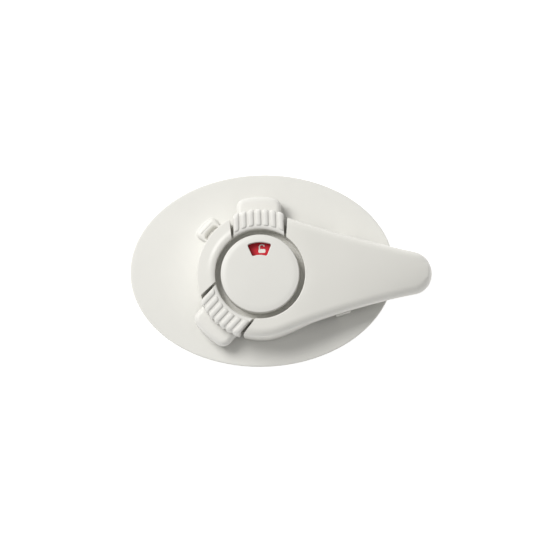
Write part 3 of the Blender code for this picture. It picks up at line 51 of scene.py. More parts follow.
# Base
BASE_LENGTH = 128.0 * MM
BASE_WIDTH = 93.7 * MM
BASE_OFFSET_X = 0.4 * MM
BASE_OFFSET_Y = 3.9 * MM
BASE_EASE = 0.13 * MM
BASE_TURN = -0.25
BASE_BOTTOM = 1.3 * MM
BASE_EDGE = 0.36 * MM
BASE_STEPS = 300
FLANGE_TOP = 3.5 * MM
FLANGE_ROUNDING = 0.6 * MM
FLARE_RADIUS = 47.0 * MM
FLARE_HEIGHT = 0.9 * MM
FLARE_POWER = 2.2
DECK_RADIUS = 31.0 * MM
DECK_TOP = FLANGE_TOP + FLARE_HEIGHT
POST_RADIUS = 8.0 * MM
POST_TOP = 17.0 * MM
POST_BORE = 5.5 * MM
POST_ROOF = 3.5 * MM
POST_FOOT = 0.8 * MM
POST_CHAMFER = 0.5 * MM
SCREW_HOLE = 2.2 * MM

# Catch blocks
BLOCK_INNER_RADIUS = 31.8 * MM
BLOCK_OUTER_RADIUS = 38.4 * MM
BLOCK_WIDTH = 10.6 * MM
BLOCK_TOP = 6.6 * MM
BLOCK_ROUNDING = 2.3 * MM
BLOCK_CORNER = 3.0 * MM
BLOCK_RISE = 1.2 * MM
BLOCK_ROOT = 0.6 * MM
BLOCK_FILLET = 0.9 * MM
BLOCK_FILLET_RISE = 0.45 * MM
BLOCK_HUB_INSET = 0.3 * MM
BLOCK_HUB_FILLET = 0.1 * MM
POCKET_DEPTH = 1.9 * MM
POCKET_WIDTH = 7.7 * MM
POCKET_BOW = 0.7 * MM
POCKET_FRONT = 1.0 * MM
POCKET_FLOOR = 0.1 * MM
POCKET_FLOOR_GROWTH = -0.25
# How far the pocket is widened, and at which height over the block's top, in mm
POCKET_MOUTH = ((-0.1, -1.7), (0.15, -1.1), (0.5, -0.6), (1.0, -0.2), (1.7, 0.05), (2.4, 0.2))

# Ring and arm
RING_RADIUS = 30.4 * MM
OPENING_RADIUS = 21.75 * MM
RING_TOP = 24.0 * MM
RING_FALL = 0.55 * MM
SKIRT_BOTTOM = 4.9 * MM
SKIRT_HALF_ANGLE = 63.0
SHELL_WALL = 2.0 * MM
EDGE_ROUNDING = 4.0 * MM
OPENING_ROUNDING = 0.4 * MM
DISH_FLOOR = 19.0 * MM
DISH_UNDERSIDE = 17.4 * MM
DISH_HOLE_RADIUS = 14.5 * MM
DISH_LAND_RADIUS = 17.0 * MM
GROOVE_FLOOR = 15.6 * MM
GROOVE_THICKNESS = 1.3 * MM
LIP_EASE = 2.2 * MM
LIP_EASE_DROP = 1.0 * MM
LIP_WIDTH = 2.1 * MM
LIP_DROP = 0.25 * MM
LIP_SLOPE = 0.085
LIP_FADE_END = 186.0
LIP_FADE_RUN = 40.0
RING_FALL_WIDTH = 16.0 * MM
ARM_REACH = 82.6 * MM
ARM_DROOP = 11.2 * MM
ARM_DROOP_START = 20.0 * MM
ARM_DROOP_POWER = 2.2
ARM_CROWN = 1.6 * MM
ARM_CROWN_START = 12.0 * MM
ARM_CROWN_RUN = 30.0 * MM
ARM_TAPER = 0.26
NECK_ANGLE = 70.0
NECK_PULL = 0.34
NECK_FADE_POWER = 1.25
GRIP_X = 74.8 * MM
GRIP_HALF_WIDTH = 10.3 * MM
GRIP_SLOPE = -0.21
GRIP_PULL = 0.38
NOSE_PULL = 4.2 * MM
NOSE_WIDTH = 0.54
TIP_ROUNDING = 2.0 * MM
TIP_ROUNDING_SHARE = 0.7
ARM_RIM_ROOT = 9.6 * MM
ARM_RIM_TIP = 6.2 * MM
FOOT_X = 39.5 * MM
FOOT_LENGTH = 7.0 * MM
FOOT_BOTTOM = 4.1 * MM
FOOT_TOP = ARM_RIM_ROOT + 2.0 * MM
FOOT_LAP = 0.15 * MM
SKIRT_INNER = RING_RADIUS - SHELL_WALL
SKIRT_TOP = RING_TOP - SHELL_WALL - 0.1 * MM
OPENING_WALL_OUTER = OPENING_RADIUS + SHELL_WALL * 0.9
DISH_EDGE = 0.2 * MM
RIM_EDGE = 0.3 * MM
WALL_DRAFT = 0.7 * MM
DRAFT_RUN = 4.0 * MM
ROOF_EASE = 1.6 * MM
ROOF_EASE_DROP = 0.7 * MM
ROOF_EASE_START = 2.4 * MM
FREE_ROOF_DROP = 1.0 * MM
EASE_STEPS = 12
TOP_STEPS = 10
EDGE_STEPS = 12

# Inside of the arm
CARRIER_SCREW_RADIUS = 25.2 * MM
CARRIER_SCREW_ANGLES = (159.0, 35.0, -35.0)
RING_BOSS_RADIUS = 2.6 * MM
FREE_BOSS_DROP = 1.4 * MM
ROOF_LAP = 0.6 * MM
COVER_SCREW_X = (43.0 * MM, 65.8 * MM)
ARM_BOSS_RADIUS = 2.8 * MM
ARM_RIB_THICKNESS = 1.4 * MM
ARM_RIB_DEPTH = 4.5 * MM
ARM_RIB_LOSS = 0.4
ARM_RIB_START = RING_RADIUS - 1.0 * MM
ARM_RIB_END = ARM_REACH - 7.0 * MM
COVER_THICKNESS = 1.6 * MM
DISC_RADIUS = 16.8 * MM
KEY_ANGLES = (255.0, 315.0, 15.0)
KEY_WIDTH = 2.4 * MM
KEY_DEPTH = 1.6 * MM
KEY_BOTTOM = DISH_FLOOR - 0.5 * MM
KEY_TOP = DISH_FLOOR + 1.3 * MM

# Buttons
SLIDE_ANGLES = {"upper": 90.0, "lower": 226.5}
BUTTON_ANGLES = {"upper": 90.5, "lower": 225.9}
LOCK_TURN = -90.0
BUTTON_FLOOR = 7.9 * MM
BUTTON_HALF_WIDTH = 12.2 * MM
BUTTON_RADIUS = 31.6 * MM
BUTTON_PLATE_BOTTOM = 19.3 * MM
SLOT_CLEARANCE = 1.7 * MM
SLOT_TAPER = 4.5
SLOT_MIDDLE = (OPENING_RADIUS + RING_RADIUS) / 2.0
CUT_START = OPENING_RADIUS - 0.6 * MM
CUT_END = 60.0 * MM
CUT_TOP = 40.0 * MM
SLOT_WALL = 1.4 * MM
SLOT_WALL_LAP = 0.5 * MM
SLOT_WALL_START = OPENING_RADIUS + 0.9 * MM
SLOT_WALL_END = RING_RADIUS - 1.2 * MM
RIB_COUNT = 7
RIB_PITCH = 3.57 * MM
RIB_HEIGHT = 0.7 * MM
RIB_WIDTH = 2.6 * MM
RIB_POWER = 2.6
RIB_PROUD = 0.1 * MM
RIB_RUN = 1.2 * MM
RIB_INNER_RADIUS = 23.5 * MM
RIB_START_GAP = 0.2 * MM
RIB_LUG_GAP = 0.6 * MM
FACE_SETBACK = 0.8
BUTTON_BEND = 1.6 * MM
BUTTON_LIP_FALL = 1.1 * MM
BUTTON_FACE_LIFT = 0.85
FLANK_EDGE = 0.2 * MM
WEB_INNER = 26.9 * MM
WEB_EASE = 0.8 * MM
WEB_EASE_MIDDLE = 0.25 * MM
LUG_ROOT = WEB_INNER + 1.0 * MM
RAIL_INNER = 6.4 * MM
RAIL_OUTER = 9.2 * MM
RAIL_TOP = 13.9 * MM
RAIL_END = 15.0 * MM
RAIL_HOOK = 1.5 * MM
RAIL_HOOK_REACH = 1.3 * MM
LUG_RADIUS = 38.8 * MM
LUG_HALF_WIDTH = 10.8 * MM
LUG_TOP = 13.9 * MM
LUG_ROUNDING = 2.6 * MM
LUG_CORNER = 3.9 * MM
LUG_STRAIGHT = 2.0 * MM
TOOTH_WIDTH = 7.0 * MM
TOOTH_BOTTOM = 4.9 * MM
TOOTH_TOP = BUTTON_FLOOR + 1.0 * MM
TOOTH_OUTER = 31.5 * MM
TOOTH_INNER = 28.9 * MM
PIN_RADIUS = 1.2 * MM
PIN_LENGTH = 2.6 * MM

# Springs
SLEEVE_OUTER = 12.0 * MM
SPRING_HEIGHT = 10.9 * MM
WIRE_RADIUS = 0.35 * MM
COIL_RADIUS = 2.1 * MM
COIL_TURNS = 7
COIL_STEPS = 28
WIRE_SIDES = 10

# Cap and window
CAP_RADIUS = 19.0 * MM
CAP_WALL = 1.5 * MM
CAP_UNDERSIDE = 22.0 * MM
CAP_RISE = 0.7 * MM
CAP_DOME = 0.3 * MM
CAP_SHOULDER = 0.3 * MM
CAP_SHOULDER_WIDTH = 2.6 * MM
CAP_ROUNDING = 0.7 * MM
CAP_EDGE = 0.2 * MM
CAP_STEM_RADIUS = 4.2 * MM
STEM_BOTTOM = 18.6 * MM
WINDOW_INNER = 9.0 * MM
WINDOW_OUTER = 15.2 * MM
WINDOW_ANGLE = 90.0
WINDOW_HALF_ANGLE = 22.5
WINDOW_CORNER = 0.9 * MM
# How far the window is widened, and at which height over the cap's top, in mm
WINDOW_EDGE = ((0.0, -0.35), (0.04, -0.16), (0.14, -0.04), (0.3, 0.02), (0.6, 0.6))
WINDOW_CUT_BOTTOM = 21.0 * MM
LABEL_INNER = 7.6 * MM
LABEL_OUTER = 16.4 * MM
LABEL_HALF_ANGLE = 44.0
LABEL_BOTTOM = 20.6 * MM
LABEL_TOP = 20.9 * MM

# Padlock marks
INK = 0.06 * MM
MARK_RADIUS = 12.45 * MM
MARK_ANGLE = 85.0
LOCK_HALF_WIDTH = 1.7 * MM
LOCK_BODY_TOP = -0.15 * MM
LOCK_BODY_LOW = -2.05 * MM
LOCK_CORNER = 0.6 * MM
BOW_RADIUS = 1.2 * MM
BOW_HALF_THICKNESS = 0.29 * MM
BOW_FOOT = -0.25 * MM
OPEN_BOW_LIFT = 0.75 * MM
OPEN_BOW_END = 12.0
CLOSED_BOW_LIFT = 0.55 * MM

# Light, in metres, degrees and watts per square metre
LIGHT_DISTANCE = 1.7
LIGHT_SPREAD = 30.0
LIGHT_AZIMUTH = 140.0
LIGHT_ELEVATION = 50.0
LIGHT_STRENGTH = 2.68
SKY_STRENGTH = 0.42
FLOOR_HALF = 2.5
FLOOR_LEVEL = -0.2 * MM
FLOOR_GLOW = 0.7

# Camera, with the hub's place in a picture of 540 pixels
HALF_PICTURE = 270.0
HUB_PIXEL_X = 260.03
HUB_PIXEL_Y = 273.5
PIXELS_PER_MM = 2.074
CAMERA_DISTANCE = 6.0
CAMERA_LEAN_X = 1.5
CAMERA_LEAN_Y = 7.1
CAMERA_ROLL = 1.3

# Materials, with noise scales in cells per metre
FLOW_SCALE = 28.0
WEAR_SCALE = 160.0
GRAIN_SCALE = 3200.0
CLOUD_SCALE = 220.0
STREAK_SCALE = 900.0
FINE_STREAK_SCALE = 1600.0
FOAM_CLOUD_SCALE = 90.0
FLOOR_CLOUD_SCALE = 6.0
FOAM_CELL_SCALE = 2600.0
SHELL_WHITE = (0.725, 0.715, 0.672)
BUTTON_WHITE = (0.715, 0.706, 0.672)
BASE_WHITE = (0.745, 0.738, 0.700)
CAP_WHITE = (0.722, 0.714, 0.676)
ACETAL_CREAM = (0.66, 0.65, 0.60)
LABEL_RED = (0.56, 0.004, 0.018)
LABEL_GREEN = (0.02, 0.27, 0.07)
INK_WHITE = (0.78, 0.77, 0.72)
ZINC_GREY = (0.66, 0.66, 0.68)
STEEL_GREY = (0.52, 0.52, 0.54)
FOAM_GREY = (0.60, 0.60, 0.58)
FLOOR_DARK = (0.69, 0.69, 0.69)
FLOOR_LIGHT = (0.71, 0.71, 0.71)


# Mesh helpers

def polar(radius, degrees, z=0.0):
    angle = math.radians(degrees)
    return Vector((radius * math.cos(angle), radius * math.sin(angle), z))


def spread(low, high, steps):
    return [low + (high - low) * index / steps for index in range(steps + 1)]


def raised(outline, z):
    """A flat outline at a height."""
    return [Vector((spot[0], spot[1], z)) for spot in outline]


def smooth_step(value):
    value = min(max(value, 0.0), 1.0)
    return value * value * (3.0 - 2.0 * value)


def turn_to(angle):
    return Matrix.Rotation(math.radians(angle), 4, "Z")


def bezier(start, first, second, end, t):
    s = 1.0 - t
    return (start * s ** 3 + first * (3.0 * s * s * t)
            + second * (3.0 * s * t * t) + end * t ** 3)


def arc(low, high, steps):
    """Sine and cosine of evenly spaced angles."""
    angles = [math.radians(degrees) for degrees in spread(low, high, steps)]
    return [(math.sin(angle), math.cos(angle)) for angle in angles]


def quarter(steps):
    return arc(0.0, 90.0, steps)


def round_corner(start, turn, end, steps):
    """Curve from start to end that is drawn towards turn."""
    return [start * (1.0 - t) ** 2 + turn * 2.0 * t * (1.0 - t) + end * t * t
            for t in spread(0.0, 1.0, steps)]


def add_object(name, data):
    made = bpy.data.objects.new(name, data)
    bpy.context.scene.collection.objects.link(made)
    return made


def finish_mesh(name, mesh, finish=None, sharp=35.0):
    bmesh.ops.recalc_face_normals(mesh, faces=mesh.faces[:])
    data = bpy.data.meshes.new(name)
    mesh.to_mesh(data)
    mesh.free()
    data.shade_smooth()
    data.set_sharp_from_angle(angle=math.radians(sharp))
    if finish is not None:
        data.materials.append(finish)
    return add_object(name, data)


def add_loft(mesh, sections, ring=False):
    loops = [[mesh.verts.new(point) for point in section] for section in sections]
    pairs = list(zip(loops, loops[1:]))
    if ring:
        pairs.append((loops[-1], loops[0]))
    for first, second in pairs:
        count = len(first)
        for index in range(count):
            after = (index + 1) % count
            mesh.faces.new((first[index], first[after], second[after], second[index]))
    if not ring:
        mesh.faces.new(loops[0])
        mesh.faces.new(list(reversed(loops[-1])))


def make_loft(name, sections, finish=None, sharp=35.0, ring=False):
    mesh = bmesh.new()
    add_loft(mesh, sections, ring)
    return finish_mesh(name, mesh, finish, sharp)


def add_prism(mesh, outline, bottom, top, angle=0.0):
    """A plate between two heights, turned round the hub."""
    turn = turn_to(angle)
    add_loft(mesh, [[turn @ point for point in raised(outline, z)] for z in (bottom, top)])


def add_turned(mesh, profile, steps):
    """A profile of (radius, z) turned round the hub's axis."""
    corners = [mesh.verts.new((radius, 0.0, z)) for radius, z in profile]
    edges = [mesh.edges.new(pair) for pair in zip(corners, corners[1:] + corners[:1])]
    on_axis = [edge for edge in edges if all(v.co.x < 1e-7 for v in edge.verts)]
    bmesh.ops.delete(mesh, geom=on_axis, context="EDGES_FACES")
    kept = [v for v in corners if v.is_valid]
    kept_edges = [edge for edge in edges if edge.is_valid]
    bmesh.ops.spin(mesh, geom=kept + kept_edges, cent=(0.0, 0.0, 0.0), axis=(0.0, 0.0, 1.0),
                   angle=math.tau, steps=steps, use_merge=True, use_duplicate=False)
    bmesh.ops.remove_doubles(mesh, verts=mesh.verts[:], dist=1e-7)


def box_outline(x_low, x_high, y_low, y_high):
    return [(x_low, y_low), (x_high, y_low), (x_high, y_high), (x_low, y_high)]


def sector(inner, outer, low, high, steps):
    """Plan of a piece of a ring round the hub."""
    angles = spread(low, high, steps)
    return ([polar(outer, angle).xy for angle in angles]
            + [polar(inner, angle).xy for angle in reversed(angles)])


def combine(target, other, operation):
    step = target.modifiers.new(other.name, "BOOLEAN")
    step.operation = operation
    step.object = other
    step.solver = "EXACT"


def settle(target, sharp=35.0):
    """Apply the cuts and joins of a piece and drop their tools."""
    tools = [step.object for step in target.modifiers]
    graph = bpy.context.evaluated_depsgraph_get()
    data = bpy.data.meshes.new_from_object(target.evaluated_get(graph))
    data.name = target.name
    target.modifiers.clear()
    target.data = data
    for used in tools:
        bpy.data.objects.remove(used, do_unlink=True)
    data.shade_smooth()
    data.set_sharp_from_angle(angle=math.radians(sharp))
    return target


def outward_directions(outline):
    """Outward direction at each point of a counter-clockwise outline."""
    directions = []
    for index in range(len(outline)):
        along = outline[(index + 1) % len(outline)] - outline[index - 1]
        directions.append(Vector((along.y, -along.x)).normalized())
    return directions


def offset_outline(outline, distances):
    """Move every point of a counter-clockwise outline inwards by its own distance."""
    return [point - away * distance for point, away, distance
            in zip(outline, outward_directions(outline), distances)]


def grown(outline, distance):
    return offset_outline(outline, [-distance] * len(outline))


# Materials

def new_material(name):
    made = bpy.data.materials.new(name)
    made.use_nodes = True
    tree = made.node_tree
    return made, tree, tree.nodes["Principled BSDF"], tree.nodes.new("ShaderNodeTexCoord")


def put(node, socket, value):
    node.inputs[socket].default_value = value


def noise(tree, place, scale, detail=2.0, roughness=0.5):
    node = tree.nodes.new("ShaderNodeTexNoise")
    put(node, "Scale", scale)
    put(node, "Detail", detail)
    put(node, "Roughness", roughness)
    tree.links.new(place.outputs["Object"], node.inputs["Vector"])
    return node


def roughened(tree, shader, source, low, high):
    """Roughness that wanders between two values with a noise."""
    node = tree.nodes.new("ShaderNodeMapRange")
    for socket, value in (("From Min", 0.3), ("From Max", 0.7), ("To Min", low), ("To Max", high)):
        put(node, socket, value)
    tree.links.new(source.outputs["Fac"], node.inputs["Value"])
    tree.links.new(node.outputs["Result"], shader.inputs["Roughness"])


def tinted(tree, shader, source, dark, light, low=0.0, high=1.0):
    """Base colour that wanders between two tones with a noise."""
    tint = tree.nodes.new("ShaderNodeValToRGB")
    for element, position, tone in zip(tint.color_ramp.elements, (low, high), (dark, light)):
        element.position = position
        element.color = (*tone, 1.0)
    tree.links.new(source.outputs["Fac"], tint.inputs["Fac"])
    tree.links.new(tint.outputs["Color"], shader.inputs["Base Color"])


def scaled(colour, factor):
    return [min(channel * factor, 1.0) for channel in colour]


def bumped(tree, shader, height, strength, distance):
    """Relief on the shader's normal."""
    bump = tree.nodes.new("ShaderNodeBump")
    put(bump, "Strength", strength)
    put(bump, "Distance", distance)
    tree.links.new(height, bump.inputs["Height"])
    tree.links.new(bump.outputs["Normal"], shader.inputs["Normal"])
    return bump


def plastic(name, colour, rough_low, rough_high, grain=0.012 * MM, edge=0.3 * MM):
    """Satin moulded plastic: faint flow marks, a fine spark-eroded grain and soft edges."""
    made, tree, shader, place = new_material(name)
    flow = noise(tree, place, FLOW_SCALE, 3.0)
    tinted(tree, shader, flow, scaled(colour, 0.985), scaled(colour, 1.01), 0.35, 0.65)
    wear = noise(tree, place, WEAR_SCALE, 4.0)
    roughened(tree, shader, wear, rough_low, rough_high)
    fine = noise(tree, place, GRAIN_SCALE, 2.0, 0.6)
    soft = tree.nodes.new("ShaderNodeBevel")
    soft.samples = 8
    put(soft, "Radius", edge)
    bump = bumped(tree, shader, fine.outputs["Fac"], 0.35, grain)
    tree.links.new(soft.outputs["Normal"], bump.inputs["Normal"])
    put(shader, "Specular IOR Level", 0.45)
    put(shader, "IOR", 1.46)
    return made


def metal(name, colour, rough_low, rough_high, streak=STREAK_SCALE):
    """Steel with cloudy plating and fine streaks."""
    made, tree, shader, place = new_material(name)
    cloud = noise(tree, place, CLOUD_SCALE, 3.0)
    tinted(tree, shader, cloud, scaled(colour, 0.86), colour)
    line = noise(tree, place, streak, 2.0)
    roughened(tree, shader, line, rough_low, rough_high)
    bumped(tree, shader, line.outputs["Fac"], 0.2, 0.01 * MM)
    put(shader, "Metallic", 1.0)
    return made


def foam(name, colour):
    """Closed-cell foam tape: small pits between cells."""
    made, tree, shader, place = new_material(name)
    cells = tree.nodes.new("ShaderNodeTexVoronoi")
    put(cells, "Scale", FOAM_CELL_SCALE)
    tree.links.new(place.outputs["Object"], cells.inputs["Vector"])
    cloud = noise(tree, place, FOAM_CLOUD_SCALE, 3.0)
    tinted(tree, shader, cloud, scaled(colour, 0.88), colour)
    bumped(tree, shader, cells.outputs["Distance"], 0.6, 0.08 * MM)
    put(shader, "Roughness", 0.85)
    return made


shell_plastic = plastic("shell_plastic", SHELL_WHITE, 0.36, 0.44)
button_plastic = plastic("button_plastic", BUTTON_WHITE, 0.42, 0.50)
base_plastic = plastic("base_plastic", BASE_WHITE, 0.38, 0.46)
cap_plastic = plastic("cap_plastic", CAP_WHITE, 0.33, 0.41)
acetal = plastic("acetal", ACETAL_CREAM, 0.34, 0.44)
red_print = plastic("red_print", LABEL_RED, 0.42, 0.5, grain=0.004 * MM, edge=0.1 * MM)
green_print = plastic("green_print", LABEL_GREEN, 0.3, 0.38, grain=0.004 * MM, edge=0.1 * MM)
white_print = plastic("white_print", INK_WHITE, 0.4, 0.48, grain=0.004 * MM, edge=0.05 * MM)
zinc = metal("zinc", ZINC_GREY, 0.28, 0.45)
spring_steel = metal("spring_steel", STEEL_GREY, 0.22, 0.36, streak=FINE_STREAK_SCALE)
foam_tape = foam("foam_tape", FOAM_GREY)


def paint(node, finish):
    """Give a CAD node its finish."""
    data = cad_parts[node].data
    data.materials.clear()
    data.materials.append(finish)


def dress(piece, body, slot, *nodes):
    """Put a piece on its body, in place of the CAD nodes it stands for."""
    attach(piece, body)
    if nodes:
        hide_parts(*nodes)


# Base plate

def ellipse_radius(degrees):
    direction = polar(1.0, degrees - BASE_TURN)
    half_length = BASE_LENGTH / 2.0 - BASE_EASE
    half_width = BASE_WIDTH / 2.0 - BASE_EASE
    a = (direction.x / half_length) ** 2 + (direction.y / half_width) ** 2
    b = -(direction.x * BASE_OFFSET_X / half_length ** 2
          + direction.y * BASE_OFFSET_Y / half_width ** 2)
    c = (BASE_OFFSET_X / half_length) ** 2 + (BASE_OFFSET_Y / half_width) ** 2 - 1.0
    return (-b + math.sqrt(b * b - a * c)) / a


def flare_height(radius):
    rise = min(max((FLARE_RADIUS - radius) / (FLARE_RADIUS - DECK_RADIUS), 0.0), 1.0)
    return FLARE_HEIGHT * rise ** FLARE_POWER


def base_section(angle):
    """Section of the base from the post's screw hole out to the edge and back over the deck."""
    edge = ellipse_radius(angle)
    start = edge - FLANGE_ROUNDING
    side_top = FLANGE_TOP - FLANGE_ROUNDING
    roof = POST_TOP - POST_ROOF
    points = [(SCREW_HOLE, POST_TOP), (SCREW_HOLE, roof), (POST_BORE, roof),
              (POST_BORE, BASE_BOTTOM)]
    for sine, cosine in quarter(3):
        points.append((edge - BASE_EDGE * (1.0 - sine), BASE_BOTTOM + BASE_EDGE * (1.0 - cosine)))
    for sine, cosine in quarter(7):
        points.append((start + FLANGE_ROUNDING * cosine, side_top + FLANGE_ROUNDING * sine))
    for share in spread(1.0, 0.0, 26)[1:]:
        radius = DECK_RADIUS + (start - DECK_RADIUS) * share
        points.append((radius, FLANGE_TOP + flare_height(radius)))
    for sine, cosine in quarter(5):
        points.append((POST_RADIUS + POST_FOOT * (1.0 - sine),
                       DECK_TOP + POST_FOOT * (1.0 - cosine)))
    points.append((POST_RADIUS, POST_TOP - POST_CHAMFER))
    points.append((POST_RADIUS - POST_CHAMFER, POST_TOP))
    return [polar(radius, angle, z) for radius, z in points]


def block_outline():
    """Plan of a catch block; the flags mark the points on its hub side."""
    half = math.degrees(math.asin(BLOCK_WIDTH / 2.0 / BLOCK_INNER_RADIUS))
    ease = math.degrees(BLOCK_CORNER / BLOCK_OUTER_RADIUS)
    corner = round_corner(polar(BLOCK_OUTER_RADIUS - BLOCK_CORNER, -half).xy,
                          polar(BLOCK_OUTER_RADIUS, -half).xy,
                          polar(BLOCK_OUTER_RADIUS, ease - half).xy, 8)
    outer = corner + [polar(BLOCK_OUTER_RADIUS, angle).xy
                      for angle in spread(ease - half, half - ease, 10)[1:-1]]
    outer += [Vector((point.x, -point.y)) for point in reversed(corner)]
    inner = [polar(BLOCK_INNER_RADIUS, angle).xy for angle in spread(half, -half, 16)]
    return outer + inner, [False] * len(outer) + [True] * len(inner)


def at_catches(name, sections):
    """A copy of one loft for each button in each arm position."""
    mesh = bmesh.new()
    for start in BUTTON_ANGLES.values():
        for angle in (start, start + LOCK_TURN):
            turn = turn_to(angle)
            add_loft(mesh, [[turn @ point for point in section] for section in sections])
    return finish_mesh(name, mesh)


def make_blocks():
    """Four soft blocks that are filleted to the deck."""
    outline, inner_flags = block_outline()
    levels = [(-BLOCK_FILLET, -BLOCK_ROOT, True), (-BLOCK_FILLET, 0.0, True)]
    for sine, cosine in quarter(6)[1:]:
        levels.append((-BLOCK_FILLET * (1.0 - sine), BLOCK_FILLET_RISE * (1.0 - cosine), True))
    for sine, cosine in quarter(12):
        top = BLOCK_TOP - BLOCK_RISE * (1.0 - sine)
        levels.append((BLOCK_ROUNDING * (1.0 - cosine), top, False))
    sections = []
    for inset, z, on_deck in levels:
        hub_inset = min(inset, BLOCK_HUB_INSET) if inset >= 0.0 else max(inset, -BLOCK_HUB_FILLET)
        distances = [hub_inset if inner else inset for inner in inner_flags]
        section = []
        for spot in offset_outline(outline, distances):
            rise = FLANGE_TOP + flare_height(spot.length) if on_deck else 0.0
            section.append(Vector((spot.x, spot.y, z + rise)))
        sections.append(section)
    return at_catches("catch_blocks", sections)


def make_pockets():
    """The pocket of each catch block, which widens softly towards its mouth."""
    back = BLOCK_INNER_RADIUS + POCKET_DEPTH
    front = BLOCK_INNER_RADIUS - POCKET_FRONT
    half = POCKET_WIDTH / 2.0
    outline = [Vector((front, -half))]
    outline += [Vector((back - POCKET_BOW * t * t, half * t)) for t in spread(-0.9, 0.9, 12)]
    outline.append(Vector((front, half)))
    floor = FLANGE_TOP + flare_height(back) + POCKET_FLOOR
    levels = [(POCKET_FLOOR_GROWTH, floor)]
    levels += [(grow, BLOCK_TOP + above * MM) for grow, above in POCKET_MOUTH]
    return at_catches("block_pockets", [raised(grown(outline, grow * MM), z)
                                        for grow, z in levels])


def make_base():
    sections = [base_section(angle) for angle in spread(0.0, 360.0, BASE_STEPS)[:-1]]
    base = make_loft("base_moulding", sections, base_plastic, ring=True)
    combine(base, make_blocks(), "UNION")
    combine(base, make_pockets(), "DIFFERENCE")
    return settle(base, 50.0)


# Ring and arm

def arm_top(x, y):
    """Height of the ring's and the arm's top surface."""
    along = min(max((x - ARM_DROOP_START) / (ARM_REACH - ARM_DROOP_START), 0.0), 1.0)
    fall = RING_FALL * smooth_step((math.hypot(x, y) - OPENING_RADIUS) / RING_FALL_WIDTH)
    droop = ARM_DROOP * along ** ARM_DROOP_POWER
    crown = ARM_CROWN * smooth_step((x - ARM_CROWN_START) / ARM_CROWN_RUN)
    width = max(RING_RADIUS - ARM_TAPER * max(x, 0.0), GRIP_HALF_WIDTH)
    return RING_TOP - fall - droop - crown * (y / width) ** 2


def arm_rim(x, radius):
    """Height of the lower edge of the arm's wall."""
    along = min(max((x - DECK_RADIUS) / (ARM_REACH - DECK_RADIUS), 0.0), 1.0)
    arm = ARM_RIM_ROOT + (ARM_RIM_TIP - ARM_RIM_ROOT) * along
    blend = smooth_step((radius - RING_RADIUS) / (BLOCK_INNER_RADIUS - SLIDE_GAP - RING_RADIUS))
    return SKIRT_BOTTOM + (arm - SKIRT_BOTTOM) * blend


def arm_outline():
    """Plan of the ring and arm, with the outward direction at each point."""
    neck = polar(RING_RADIUS, NECK_ANGLE)
    leave = polar(1.0, NECK_ANGLE - 90.0)
    grip = Vector((GRIP_X, GRIP_HALF_WIDTH, 0.0))
    grip_slope = Vector((1.0, GRIP_SLOPE, 0.0)).normalized()
    reach = GRIP_X - neck.x
    after_neck = neck + leave * reach * NECK_PULL
    before_grip = grip - grip_slope * reach * GRIP_PULL
    flank = [bezier(neck, after_neck, before_grip, grip, t) for t in spread(0.0, 1.0, 56)]
    tip = Vector((ARM_REACH, 0.0, 0.0))
    after_grip = grip + grip_slope * NOSE_PULL
    before_tip = tip + Vector((0.0, GRIP_HALF_WIDTH * NOSE_WIDTH, 0.0))
    nose = [bezier(grip, after_grip, before_tip, tip, t) for t in spread(0.0, 1.0, 32)]
    upper = flank[:-1] + nose
    ring = [polar(RING_RADIUS, angle) for angle in spread(NECK_ANGLE, 360.0 - NECK_ANGLE, 176)]
    lower_half = [Vector((p.x, -p.y, 0.0)) for p in upper[:-1]]
    points = upper[::-1] + ring[1:-1] + lower_half
    return points, [away.to_3d() for away in outward_directions(points)]


def opening_point(point):
    """Direction from the hub to the part of the opening that faces a point of the outline."""
    angle = math.degrees(math.atan2(point.y, point.x))
    if point.x > 0.0 and abs(angle) < NECK_ANGLE:
        neck_x = polar(RING_RADIUS, NECK_ANGLE).x
        progress = (point.x - neck_x) / (ARM_REACH - neck_x)
        angle = math.copysign(NECK_ANGLE * (1.0 - min(progress, 1.0)) ** NECK_FADE_POWER, angle)
        if progress > 0.9999:
            angle = 0.0
    return polar(1.0, angle)


def lip_curve(angle):
    """Radius and drop over the ring's free segment, from the opening to the outer wall."""
    fade = smooth_step((LIP_FADE_END - angle) / LIP_FADE_RUN)
    crest = OPENING_RADIUS + LIP_EASE
    curve = [(crest - LIP_EASE * cosine, LIP_EASE_DROP * (1.0 - sine))
             for sine, cosine in quarter(EASE_STEPS)]
    for reach in spread(0.0, RING_RADIUS - RIM_EDGE - crest, TOP_STEPS + EDGE_STEPS - 4)[1:]:
        band = LIP_DROP * fade * smooth_step(reach / LIP_WIDTH)
        curve.append((crest + reach, LIP_SLOPE * reach + band))
    low = curve[-1][1]
    for sine, cosine in quarter(4)[1:]:
        curve.append((RING_RADIUS - RIM_EDGE * (1.0 - sine), low + RIM_EDGE * (1.0 - cosine)))
    return curve


def arm_curve(point, outward, direction):
    """Points over the arm's top, from the opening to the foot of the edge rounding."""
    narrow = min(max(abs(point.y) * TIP_ROUNDING_SHARE, TIP_ROUNDING), EDGE_ROUNDING)
    start = direction * (OPENING_RADIUS + OPENING_ROUNDING)
    shoulder = point - outward * narrow
    spots = []
    for sine, cosine in quarter(EASE_STEPS):
        spots.append((start - direction * OPENING_ROUNDING * cosine,
                      OPENING_ROUNDING * (1.0 - sine)))
    for share in spread(0.0, 1.0, TOP_STEPS)[1:]:
        spots.append((start.lerp(shoulder, share), 0.0))
    for sine, cosine in quarter(EDGE_STEPS)[1:]:
        spots.append((point - outward * narrow * (1.0 - sine), EDGE_ROUNDING * (1.0 - cosine)))
    return [Vector((spot.x, spot.y, arm_top(spot.x, spot.y) - fall)) for spot, fall in spots]


